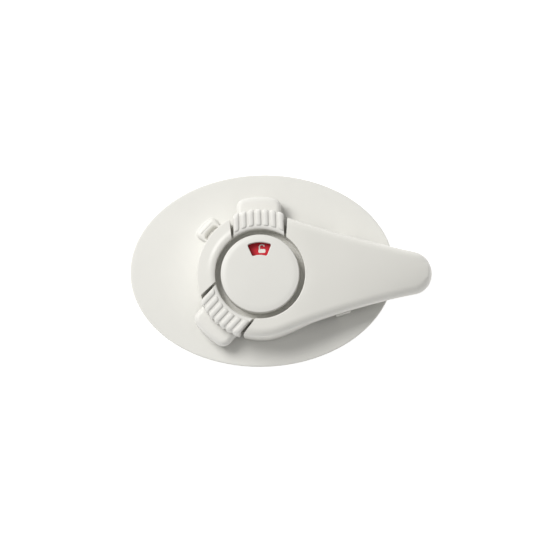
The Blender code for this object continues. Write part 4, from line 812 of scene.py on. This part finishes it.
def shell_section(point, outward):
    """Section of the shell: dish, groove, top, wall, and the same way back inside."""
    direction = opening_point(point)
    angle = math.degrees(math.atan2(point.y, point.x)) % 360.0
    free_segment = BUTTON_ANGLES["upper"] < angle < BUTTON_ANGLES["lower"]

    def at(radius, z):
        return direction * radius + Vector((0.0, 0.0, z))

    section = [
        at(DISH_HOLE_RADIUS, DISH_UNDERSIDE),
        at(DISH_HOLE_RADIUS, DISH_FLOOR - DISH_EDGE),
        at(DISH_HOLE_RADIUS + DISH_EDGE, DISH_FLOOR),
        at(DISH_LAND_RADIUS - DISH_EDGE, DISH_FLOOR),
        at(DISH_LAND_RADIUS, DISH_FLOOR - DISH_EDGE),
        at(DISH_LAND_RADIUS, GROOVE_FLOOR + DISH_EDGE),
        at(DISH_LAND_RADIUS + DISH_EDGE, GROOVE_FLOOR),
        at(OPENING_RADIUS - 2.0 * DISH_EDGE, GROOVE_FLOOR),
        at(OPENING_RADIUS, GROOVE_FLOOR + 2.0 * DISH_EDGE),
    ]
    if free_segment:
        section += [at(radius, RING_TOP - drop) for radius, drop in lip_curve(angle)]
    else:
        section += arm_curve(point, outward, direction)
    lowered = FREE_ROOF_DROP if free_segment else 0.0
    rim = arm_rim(point.x, point.length)
    draft = WALL_DRAFT * smooth_step((point.length - RING_RADIUS) / DRAFT_RUN)
    for sine, cosine in quarter(3):
        spot = point - outward * (draft + RIM_EDGE * (1.0 - cosine))
        section += raised([spot], rim + RIM_EDGE * (1.0 - sine))
    inside = point - outward * SHELL_WALL
    eased = point - outward * (SHELL_WALL + ROOF_EASE)
    roof = arm_top(inside.x, inside.y) - SHELL_WALL
    section += raised([inside], rim) + raised([inside], roof - ROOF_EASE_START)
    section += raised([eased], roof - ROOF_EASE_DROP - lowered * 0.5)
    for share in (0.25, 0.5, 0.75):
        spot = eased.lerp(direction * OPENING_WALL_OUTER, share)
        section += raised([spot], arm_top(spot.x, spot.y) - SHELL_WALL - lowered)
    land_inner = DISH_LAND_RADIUS - GROOVE_THICKNESS
    section.append(at(OPENING_WALL_OUTER, RING_TOP - SHELL_WALL - lowered))
    section.append(at(OPENING_WALL_OUTER, GROOVE_FLOOR - GROOVE_THICKNESS))
    section.append(at(land_inner, GROOVE_FLOOR - GROOVE_THICKNESS))
    section.append(at(land_inner, DISH_UNDERSIDE))
    return section


def slot_half_width(u):
    """Half width of a slot at a distance from the hub; its flanks spread outwards."""
    widen = math.tan(math.radians(SLOT_TAPER))
    return BUTTON_HALF_WIDTH + SLOT_CLEARANCE + (u - SLOT_MIDDLE) * widen


def slot_point(radius, share, z):
    """Point on a circle round the hub, at a share of the slot's half width."""
    u = radius
    for _ in range(6):
        u = math.sqrt(radius ** 2 - (share * slot_half_width(u)) ** 2)
    return Vector((u, share * slot_half_width(u), z))


def slot_cutter(name, angle):
    """Cuts the way of one button through the ring, but keeps the wall under it."""
    floor = DISH_FLOOR - LAP
    back = OPENING_WALL_OUTER + SLIDE_GAP
    profile = [(CUT_START, floor), (back, floor), (back, 0.0), (CUT_END, 0.0), (CUT_END, CUT_TOP),
               (CUT_START, CUT_TOP)]
    turn = turn_to(angle)
    return make_loft(name, [[turn @ slot_point(radius, share, z) for radius, z in profile]
                            for share in spread(-1.0, 1.0, 40)])


def make_slot_walls():
    """Walls that close the shell beside the two button slots."""
    mesh = bmesh.new()
    near = slot_point(SLOT_WALL_START, 1.0, 0.0).x
    far = slot_point(SLOT_WALL_END, 1.0, 0.0).x
    corners = ((near, -SLOT_WALL_LAP), (far, -SLOT_WALL_LAP), (far, SLOT_WALL), (near, SLOT_WALL))
    for angle in BUTTON_ANGLES.values():
        for side in (-1.0, 1.0):
            outline = [(u, side * (slot_half_width(u) + offset)) for u, offset in corners]
            add_prism(mesh, outline, BUTTON_FLOOR, RING_TOP - SHELL_WALL - ROOF_LAP, angle)
    return finish_mesh("slot_walls", mesh)


def add_post(mesh, x, y, radius, bottom, top):
    outline = [(Vector((x, y)) + polar(radius, angle).xy) for angle in spread(0.0, 360.0, 32)[:-1]]
    add_prism(mesh, outline, bottom, top)


def make_bosses():
    """Screw bosses under the ring and along the arm."""
    mesh = bmesh.new()
    for angle in CARRIER_SCREW_ANGLES:
        spot = polar(CARRIER_SCREW_RADIUS, angle)
        lowered = FREE_BOSS_DROP if angle > 90.0 else 0.0
        add_post(mesh, spot.x, spot.y, RING_BOSS_RADIUS, BUTTON_FLOOR,
                 RING_TOP - SHELL_WALL + ROOF_LAP - lowered)
    for x in COVER_SCREW_X:
        cover_top = arm_rim(x, x) + GAP + COVER_THICKNESS
        add_post(mesh, x, 0.0, ARM_BOSS_RADIUS, cover_top + GAP, arm_top(x, 0.0) - SHELL_WALL / 2.0)
    return finish_mesh("bosses", mesh)


def make_arm_rib():
    """Stiffening rib along the arm, under its top."""
    steps = 24
    stations = spread(ARM_RIB_START, ARM_RIB_END, steps)
    sections = []
    for side in (-ARM_RIB_THICKNESS / 2.0, ARM_RIB_THICKNESS / 2.0):
        upper = [Vector((x, side, arm_top(x, 0.0) - SHELL_WALL * 0.7)) for x in stations]
        lower = [Vector((x, side, arm_top(x, 0.0) - SHELL_WALL
                         - ARM_RIB_DEPTH * (1.0 - ARM_RIB_LOSS * index / steps)))
                 for index, x in enumerate(stations)]
        sections.append(upper + list(reversed(lower)))
    return make_loft("arm_rib", sections)


def make_disc_keys():
    """Keys that turn the indicator disc with the arm."""
    mesh = bmesh.new()
    outline = box_outline(DISC_RADIUS - KEY_DEPTH, DISC_RADIUS - LAP,
                          -KEY_WIDTH / 2.0, KEY_WIDTH / 2.0)
    for angle in KEY_ANGLES:
        add_prism(mesh, outline, KEY_BOTTOM, KEY_TOP, angle)
    return finish_mesh("disc_keys", mesh)


def make_skirt():
    """Wall of the hub that runs on under the root of the arm."""
    mesh = bmesh.new()
    outline = sector(SKIRT_INNER + LAP, RING_RADIUS - LAP, -SKIRT_HALF_ANGLE, SKIRT_HALF_ANGLE, 60)
    add_prism(mesh, outline, SKIRT_BOTTOM, SKIRT_TOP)
    return finish_mesh("hub_skirt", mesh)


def half_width_at(x):
    """Half width of the arm at a place along it."""
    points, _ = arm_outline()
    upper = sorted([p for p in points if p.y >= 0.0 and p.x > 0.0], key=lambda p: p.x)
    for first, second in zip(upper, upper[1:]):
        if first.x <= x <= second.x:
            share = (x - first.x) / max(second.x - first.x, 1e-9)
            return first.y + (second.y - first.y) * share
    return 0.0


def make_feet():
    """Two feet under the arm's edges, which rest near the base."""
    mesh = bmesh.new()
    low = FOOT_X - FOOT_LENGTH / 2.0
    high = FOOT_X + FOOT_LENGTH / 2.0
    for side in (-1.0, 1.0):
        stations = spread(low, high, 8)
        outline = [(x, side * (half_width_at(x) - FOOT_LAP)) for x in stations]
        outline += [(x, side * (half_width_at(x) - SHELL_WALL + FOOT_LAP))
                    for x in reversed(stations)]
        add_prism(mesh, outline, FOOT_BOTTOM, FOOT_TOP)
    return finish_mesh("feet", mesh)


def make_arm():
    points, outward = arm_outline()
    sections = [shell_section(point, out) for point, out in zip(points, outward)]
    arm = make_loft("arm_shell", sections, shell_plastic, ring=True)
    for addition in (make_arm_rib(), make_skirt(), make_slot_walls(), make_bosses(), make_feet(),
                     make_disc_keys()):
        combine(arm, addition, "UNION")
    for name, angle in BUTTON_ANGLES.items():
        combine(arm, slot_cutter(name + "_slot", angle), "DIFFERENCE")
    return settle(arm, 40.0)


# Buttons

def rib_share(side):
    """Distance from the nearest rib's crest, in half widths of a rib."""
    nearest = min(max(round(side / RIB_PITCH), -(RIB_COUNT // 2)), RIB_COUNT // 2)
    return abs(side - nearest * RIB_PITCH) / (RIB_WIDTH / 2.0)


def button_path():
    """Radial path round the ribbed body: (radius, z, outward radius, outward z, rib share)."""
    top = RING_TOP - RIB_HEIGHT + RIB_PROUD
    outer = BUTTON_RADIUS - RIB_HEIGHT * FACE_SETBACK
    lip = RIB_INNER_RADIUS - RIB_START_GAP - OPENING_RADIUS
    path = [
        (WEB_INNER, BUTTON_FLOOR, -1.0, 0.0, 0.0),
        (WEB_INNER, BUTTON_PLATE_BOTTOM - WEB_EASE, -1.0, 0.0, 0.0),
        (WEB_INNER - WEB_EASE_MIDDLE, BUTTON_PLATE_BOTTOM - WEB_EASE_MIDDLE, -1.0, 0.0, 0.0),
        (WEB_INNER - WEB_EASE, BUTTON_PLATE_BOTTOM, 0.0, -1.0, 0.0),
        (OPENING_RADIUS + FLANK_EDGE, BUTTON_PLATE_BOTTOM, 0.0, -1.0, 0.0),
        (OPENING_RADIUS, BUTTON_PLATE_BOTTOM + FLANK_EDGE, -1.0, 0.0, 0.0),
    ]
    for sine, cosine in quarter(10):
        path.append((OPENING_RADIUS + lip * (1.0 - cosine), top - BUTTON_LIP_FALL * (1.0 - sine),
                     -cosine, sine, 0.0))
    for step, (_, cosine) in enumerate(quarter(9)):
        path.append((RIB_INNER_RADIUS + RIB_RUN * (1.0 - cosine), top, 0.0, 1.0, step / 9.0))
    bend_start = outer - BUTTON_BEND
    for radius in spread(RIB_INNER_RADIUS + RIB_RUN, bend_start, 5)[1:]:
        path.append((radius, top, 0.0, 1.0, 1.0))
    shoulder = top - BUTTON_BEND
    for sine, cosine in quarter(9)[1:]:
        path.append((bend_start + BUTTON_BEND * sine, shoulder + BUTTON_BEND * cosine,
                     sine, cosine, 1.0))
    rib_end = LUG_TOP + RIB_LUG_GAP
    for z in spread(shoulder, rib_end + RIB_RUN, 4)[1:]:
        path.append((outer, z, 1.0, 0.0, 1.0))
    for sine, cosine in quarter(6)[1:]:
        path.append((outer, rib_end + RIB_RUN * (1.0 - sine), 1.0, 0.0, cosine))
    path.append((outer, BUTTON_FLOOR + RIM_EDGE, 1.0, 0.0, 0.0))
    path.append((outer - RIM_EDGE, BUTTON_FLOOR, 1.0, 0.0, 0.0))
    return path


def button_section(side, inset):
    """Section at one distance from the middle plane; inset rounds the two flanks."""
    share = rib_share(side)
    crest = 1.0 - share ** RIB_POWER if share < 1.0 else 0.0
    section = []
    for radius, z, out_r, out_z, rib in button_path():
        lift = RIB_HEIGHT * math.sqrt(max(crest - (1.0 - rib) ** 2, 0.0)) if rib > 0.0 else 0.0
        lift -= inset
        radius_now = radius + out_r * (lift * BUTTON_FACE_LIFT if out_r > 0.0 else lift)
        z_now = z + out_z * lift
        if out_r == -1.0 and radius <= WEB_INNER and z < BUTTON_PLATE_BOTTOM:
            u = radius + inset
        else:
            u = math.sqrt(max(radius_now ** 2 - side ** 2, 0.0))
        section.append(Vector((u, side, z_now)))
    return section


def button_stations():
    """Places across the button, dense over the ribs, with the inset of each."""
    flank = [(BUTTON_HALF_WIDTH - FLANK_EDGE * (1.0 - cosine), FLANK_EDGE * (1.0 - sine))
             for sine, cosine in arc(90.0, 0.0, 5)]
    stations = [(-side, inset) for side, inset in reversed(flank)]
    for index in range(RIB_COUNT):
        middle = (index - RIB_COUNT // 2) * RIB_PITCH
        stations += [(middle + sine * RIB_WIDTH / 2.0, 0.0) for sine, _ in arc(-90.0, 90.0, 14)]
        if index < RIB_COUNT - 1:
            stations.append((middle + RIB_PITCH / 2.0, 0.0))
    return stations + flank


def lug_outline():
    """Plan of the finger lug, from its root round the two outer corners."""
    half = LUG_HALF_WIDTH
    outer = math.sqrt(LUG_RADIUS ** 2 - half ** 2)
    end_side = half - LUG_CORNER

    def on_front(side):
        return Vector((math.sqrt(LUG_RADIUS ** 2 - side ** 2), side))

    outline = [Vector((LUG_ROOT, -half)), Vector((outer - LUG_CORNER - LUG_STRAIGHT, -half))]
    outline += round_corner(Vector((outer - LUG_CORNER, -half)), Vector((outer, -half)),
                            on_front(-end_side), 12)
    outline += [on_front(side) for side in spread(-end_side, 0.0, 8)[1:]]
    mirrored = [Vector((point.x, -point.y)) for point in reversed(outline[:-1])]
    return outline + mirrored


def make_lug(name):
    outline = lug_outline()
    levels = [(RIM_EDGE, BUTTON_FLOOR), (RIM_EDGE * 0.3, BUTTON_FLOOR + RIM_EDGE * 0.3),
              (0.0, BUTTON_FLOOR + RIM_EDGE)]
    for sine, cosine in quarter(14):
        levels.append((LUG_ROUNDING * (1.0 - cosine), LUG_TOP - LUG_ROUNDING * (1.0 - sine)))
    sections = []
    for inset, z in levels:
        moved = grown(outline, -inset)
        moved[0].x = moved[-1].x = LUG_ROOT
        sections.append(raised(moved, z))
    return make_loft(name + "_lug", sections)


def make_rails(name):
    """Two rails in the carrier's guides, with hooks that stop the button's way out."""
    mesh = bmesh.new()
    for side in (-1.0, 1.0):
        hook = side * (RAIL_OUTER + RAIL_HOOK_REACH)
        outer = side * RAIL_OUTER
        inner = side * RAIL_INNER
        outline = [
            (RAIL_END, inner), (RAIL_END, hook), (RAIL_END + RAIL_HOOK, hook),
            (RAIL_END + RAIL_HOOK, outer), (LUG_ROOT, outer), (LUG_ROOT, inner),
        ]
        if side > 0.0:
            outline.reverse()
        add_prism(mesh, outline, BUTTON_FLOOR, RAIL_TOP)
    return finish_mesh(name + "_rails", mesh)


def make_tooth(name):
    """The catch tooth below the button and the pin that holds its spring."""
    mesh = bmesh.new()
    half = TOOTH_WIDTH / 2.0
    front = [(math.sqrt(TOOTH_OUTER ** 2 - side ** 2), side) for side in spread(-half, half, 16)]
    outline = [(TOOTH_INNER, -half)] + front + [(TOOTH_INNER, half)]
    add_prism(mesh, outline, TOOTH_BOTTOM, TOOTH_TOP)
    round_pin = [(PIN_RADIUS * cosine, SPRING_HEIGHT + PIN_RADIUS * sine)
                 for sine, cosine in arc(0.0, 360.0, 32)[:-1]]
    add_loft(mesh, [[Vector((x, y, z)) for y, z in round_pin]
                    for x in (WEB_INNER - PIN_LENGTH, LUG_ROOT)])
    return finish_mesh(name + "_tooth", mesh)


def make_button(name, angle):
    sections = [button_section(side, inset) for side, inset in button_stations()]
    button = make_loft(name + "_squeeze_pad", sections, button_plastic)
    for addition in (make_lug(name), make_rails(name), make_tooth(name)):
        combine(button, addition, "UNION")
    settle(button, 42.0)
    button.data.transform(turn_to(angle))
    return button


# Springs

def make_spring(name, angle):
    """A helical wire from the hub's sleeve to the button's web."""
    start = SLEEVE_OUTER + GAP + WIRE_RADIUS
    length = WEB_INNER - SLEEVE_OUTER - 2.0 * (GAP + WIRE_RADIUS)
    last = COIL_TURNS * COIL_STEPS
    centres = []
    for index in range(last + 1):
        around = math.tau * index / COIL_STEPS
        centres.append(Vector((start + length * index / last, COIL_RADIUS * math.cos(around),
                               SPRING_HEIGHT + COIL_RADIUS * math.sin(around))))
    sections = []
    for index, centre in enumerate(centres):
        ahead = centres[min(index + 1, last)] - centres[max(index - 1, 0)]
        radial = Vector((0.0, centre.y, centre.z - SPRING_HEIGHT)).normalized()
        side = ahead.normalized().cross(radial).normalized()
        sections.append([centre + (radial * cosine + side * sine) * WIRE_RADIUS
                         for sine, cosine in arc(0.0, 360.0, WIRE_SIDES)[:-1]])
    spring = make_loft(name + "_coil", sections, spring_steel, 60.0)
    spring.data.transform(turn_to(angle))
    return spring


# Cap, window and labels

def cap_height(radius):
    """Height of the cap's top: a slight dome that falls off towards its edge."""
    flat = CAP_RADIUS - CAP_ROUNDING
    share = min(radius / flat, 1.0)
    near_edge = max((radius - flat + CAP_SHOULDER_WIDTH) / CAP_SHOULDER_WIDTH, 0.0)
    return RING_TOP + CAP_RISE + CAP_DOME * (1.0 - share ** 2) - CAP_SHOULDER * near_edge ** 2


def window_outline():
    """Plan of the window: a ring sector with rounded corners."""
    low = WINDOW_ANGLE - WINDOW_HALF_ANGLE
    high = WINDOW_ANGLE + WINDOW_HALF_ANGLE
    far = math.degrees(WINDOW_CORNER / WINDOW_OUTER)
    near = math.degrees(WINDOW_CORNER / WINDOW_INNER)

    def corner(radius, angle, radial_steps, angular_steps):
        start = polar(radius + radial_steps[0], angle + angular_steps[0]).xy
        end = polar(radius + radial_steps[1], angle + angular_steps[1]).xy
        return round_corner(start, polar(radius, angle).xy, end, 6)

    outline = [polar(WINDOW_OUTER, angle).xy for angle in spread(low + far, high - far, 16)[1:-1]]
    outline += corner(WINDOW_OUTER, high, (0.0, -WINDOW_CORNER), (-far, 0.0))
    outline += corner(WINDOW_INNER, high, (WINDOW_CORNER, 0.0), (0.0, -near))
    outline += [polar(WINDOW_INNER, angle).xy
                for angle in spread(high - near, low + near, 10)[1:-1]]
    outline += corner(WINDOW_INNER, low, (0.0, WINDOW_CORNER), (near, 0.0))
    outline += corner(WINDOW_OUTER, low, (-WINDOW_CORNER, 0.0), (0.0, far))
    return outline


def make_window_cut():
    """Cuts the window through the cap and softens its upper edge."""
    outline = window_outline()
    sections = [raised(outline, WINDOW_CUT_BOTTOM)]
    for grow, above in WINDOW_EDGE:
        sections.append([Vector((spot.x, spot.y, cap_height(spot.length) + above * MM))
                         for spot in grown(outline, grow * MM)])
    return make_loft("window_cut", sections)


def make_cap():
    skirt_bottom = GROOVE_FLOOR + GAP
    flat = CAP_RADIUS - CAP_ROUNDING
    profile = [(radius, cap_height(radius)) for radius in spread(0.0, flat, 36)]
    rim = cap_height(flat)
    for sine, cosine in quarter(12)[1:]:
        profile.append((flat + CAP_ROUNDING * sine, rim - CAP_ROUNDING * (1.0 - cosine)))
    profile += [
        (CAP_RADIUS, skirt_bottom + CAP_EDGE),
        (CAP_RADIUS - CAP_EDGE, skirt_bottom),
        (CAP_RADIUS - CAP_WALL, skirt_bottom),
        (CAP_RADIUS - CAP_WALL, CAP_UNDERSIDE),
        (CAP_STEM_RADIUS, CAP_UNDERSIDE),
        (CAP_STEM_RADIUS, STEM_BOTTOM),
        (SCREW_HOLE, STEM_BOTTOM),
        (SCREW_HOLE, CAP_UNDERSIDE),
        (0.0, CAP_UNDERSIDE + CAP_EDGE),
    ]
    mesh = bmesh.new()
    add_turned(mesh, profile, 180)
    cap = finish_mesh("cap_moulding", mesh, cap_plastic)
    combine(cap, make_window_cut(), "DIFFERENCE")
    return settle(cap, 40.0)


def make_label(name, middle, finish):
    outline = sector(LABEL_INNER, LABEL_OUTER, middle - LABEL_HALF_ANGLE,
                     middle + LABEL_HALF_ANGLE, 48)
    mesh = bmesh.new()
    add_prism(mesh, outline, LABEL_BOTTOM, LABEL_TOP)
    return finish_mesh(name, mesh, finish)


def lock_body_outline():
    """Rounded rectangle of the padlock's body."""
    outline = []
    for x, y, start in ((LOCK_HALF_WIDTH, LOCK_BODY_LOW, 270.0),
                        (LOCK_HALF_WIDTH, LOCK_BODY_TOP, 0.0),
                        (-LOCK_HALF_WIDTH, LOCK_BODY_TOP, 90.0),
                        (-LOCK_HALF_WIDTH, LOCK_BODY_LOW, 180.0)):
        inward = LOCK_CORNER if y == LOCK_BODY_LOW else -LOCK_CORNER
        centre = Vector((x - math.copysign(LOCK_CORNER, x), y + inward))
        outline += [centre + polar(LOCK_CORNER, turn).xy
                    for turn in spread(start, start + 90.0, 5)]
    return outline


def bow_line(is_open):
    """Middle line of the padlock's bow; the open one stops short of the body."""
    lift = OPEN_BOW_LIFT if is_open else CLOSED_BOW_LIFT
    last = OPEN_BOW_END if is_open else 0.0
    line = [Vector((-BOW_RADIUS, BOW_FOOT)), Vector((-BOW_RADIUS, lift * 0.6))]
    line += [Vector((0.0, lift)) + polar(BOW_RADIUS, turn).xy for turn in spread(180.0, last, 16)]
    if not is_open:
        line.append(Vector((BOW_RADIUS, BOW_FOOT)))
    return line


def padlock(name, middle, is_open):
    """Printed padlock mark, a raised layer of white ink."""
    low = LABEL_TOP
    high = LABEL_TOP + INK
    mesh = bmesh.new()
    add_prism(mesh, lock_body_outline(), low, high)
    line = bow_line(is_open)
    sections = []
    for index, point in enumerate(line):
        ahead = line[min(index + 1, len(line) - 1)] - line[max(index - 1, 0)]
        across = Vector((-ahead.y, ahead.x)).normalized() * BOW_HALF_THICKNESS
        left = point + across
        right = point - across
        sections.append(raised([left, right], low) + raised([right, left], high))
    add_loft(mesh, sections)
    mark = finish_mesh(name, mesh, white_print)
    spot = polar(MARK_RADIUS, middle)
    mark.data.transform(Matrix.Translation(spot) @ turn_to(middle - MARK_ANGLE))
    return mark


# The object

dress(make_base(), "base", "base_plastic", "base_plate")
dress(make_arm(), "arm", "shell_plastic", "swing_arm")
dress(make_cap(), "base", "shell_plastic", "dial_cap")
dress(make_label("red_sector", WINDOW_ANGLE, red_print), "arm", "red_label", "unlocked_label")
dress(make_label("green_sector", WINDOW_ANGLE - LOCK_TURN, green_print), "arm", "green_label",
      "locked_label")
dress(padlock("open_padlock_mark", MARK_ANGLE, True), "arm", "shell_plastic")
dress(padlock("closed_padlock_mark", MARK_ANGLE - LOCK_TURN, False), "arm", "shell_plastic")
for button_name, button_angle in BUTTON_ANGLES.items():
    body = button_name + "_button"
    dress(make_button(button_name, button_angle), body, "shell_plastic", body)
    slide_angle = SLIDE_ANGLES[button_name]
    coil = make_spring(button_name, slide_angle)
    dress(coil, "arm", "spring_steel", button_name + "_spring")
    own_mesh(coil)

paint("adhesive_pad", foam_tape)
paint("arm_cover", shell_plastic)
paint("wave_washer", spring_steel)
for node in ("hub_carrier", "pivot_bush", "indicator_disc"):
    paint(node, acetal)
for node in ("retainer_plate", "pivot_screw", "cover_screw_1", "cover_screw_2",
             "carrier_screw_1", "carrier_screw_2", "carrier_screw_3"):
    paint(node, zinc)


# Floor, light and camera

def make_floor():
    mesh = bmesh.new()
    square = box_outline(-FLOOR_HALF, FLOOR_HALF, -FLOOR_HALF, FLOOR_HALF)
    mesh.faces.new([mesh.verts.new(point) for point in raised(square, FLOOR_LEVEL)])
    floor_paint, tree, shader, place = new_material("floor_paint")
    cloud = noise(tree, place, FLOOR_CLOUD_SCALE, 2.0)
    tinted(tree, shader, cloud, FLOOR_DARK, FLOOR_LIGHT)
    put(shader, "Roughness", 0.9)
    put(shader, "Specular IOR Level", 0.1)
    put(shader, "Emission Color", (1.0, 1.0, 1.0, 1.0))
    put(shader, "Emission Strength", FLOOR_GLOW)
    return finish_mesh("floor", mesh, floor_paint)


def make_light():
    lamp = bpy.data.lights.new("key", "AREA")
    lamp.shape = "DISK"
    lamp.size = 2.0 * LIGHT_DISTANCE * math.tan(math.radians(LIGHT_SPREAD / 2.0))
    lamp.energy = LIGHT_STRENGTH * math.pi * LIGHT_DISTANCE ** 2
    lamp.color = (1.0, 0.995, 0.98)
    key = add_object("key", lamp)
    height = math.radians(LIGHT_ELEVATION)
    key.location = polar(LIGHT_DISTANCE * math.cos(height), LIGHT_AZIMUTH,
                         LIGHT_DISTANCE * math.sin(height))
    aim = Vector((0.0, 0.0, 0.01)) - key.location
    key.rotation_euler = aim.to_track_quat("-Z", "Y").to_euler()
    world = bpy.data.worlds.new("studio")
    bpy.context.scene.world = world
    world.use_nodes = True
    back = world.node_tree.nodes["Background"]
    put(back, "Color", (1.0, 1.0, 1.0, 1.0))
    put(back, "Strength", SKY_STRENGTH)
    bpy.context.scene.view_settings.view_transform = "Standard"


def make_camera():
    """A long lens from nearly above, with its small lean and roll."""
    lean_x = math.tan(math.radians(CAMERA_LEAN_X))
    lean_y = math.tan(math.radians(CAMERA_LEAN_Y))
    roll = math.radians(CAMERA_ROLL)
    toward = Vector((lean_x, -lean_y, 1.0)).normalized()
    level = Vector((1.0, 0.0, -lean_x)).normalized()
    flat_up = toward.cross(level)
    right = level * math.cos(roll) - flat_up * math.sin(roll)
    up = flat_up * math.cos(roll) + level * math.sin(roll)
    centre = Vector((0.0, 0.0, RING_TOP))
    centre += right * ((HALF_PICTURE - HUB_PIXEL_X) / PIXELS_PER_MM * MM)
    centre += up * ((HUB_PIXEL_Y - HALF_PICTURE) / PIXELS_PER_MM * MM)
    lens = bpy.data.cameras.new("camera")
    lens.sensor_fit = "HORIZONTAL"
    lens.angle = 2.0 * math.atan(HALF_PICTURE / PIXELS_PER_MM * MM / CAMERA_DISTANCE)
    lens.clip_start = 0.1
    lens.clip_end = 20.0
    camera = add_object("camera", lens)
    axes = Matrix((right, up, toward)).transposed()
    place = Matrix.Translation(centre + toward * CAMERA_DISTANCE)
    camera.matrix_world = place @ axes.to_4x4()
    bpy.context.scene.camera = camera


make_floor()
make_light()
make_camera()
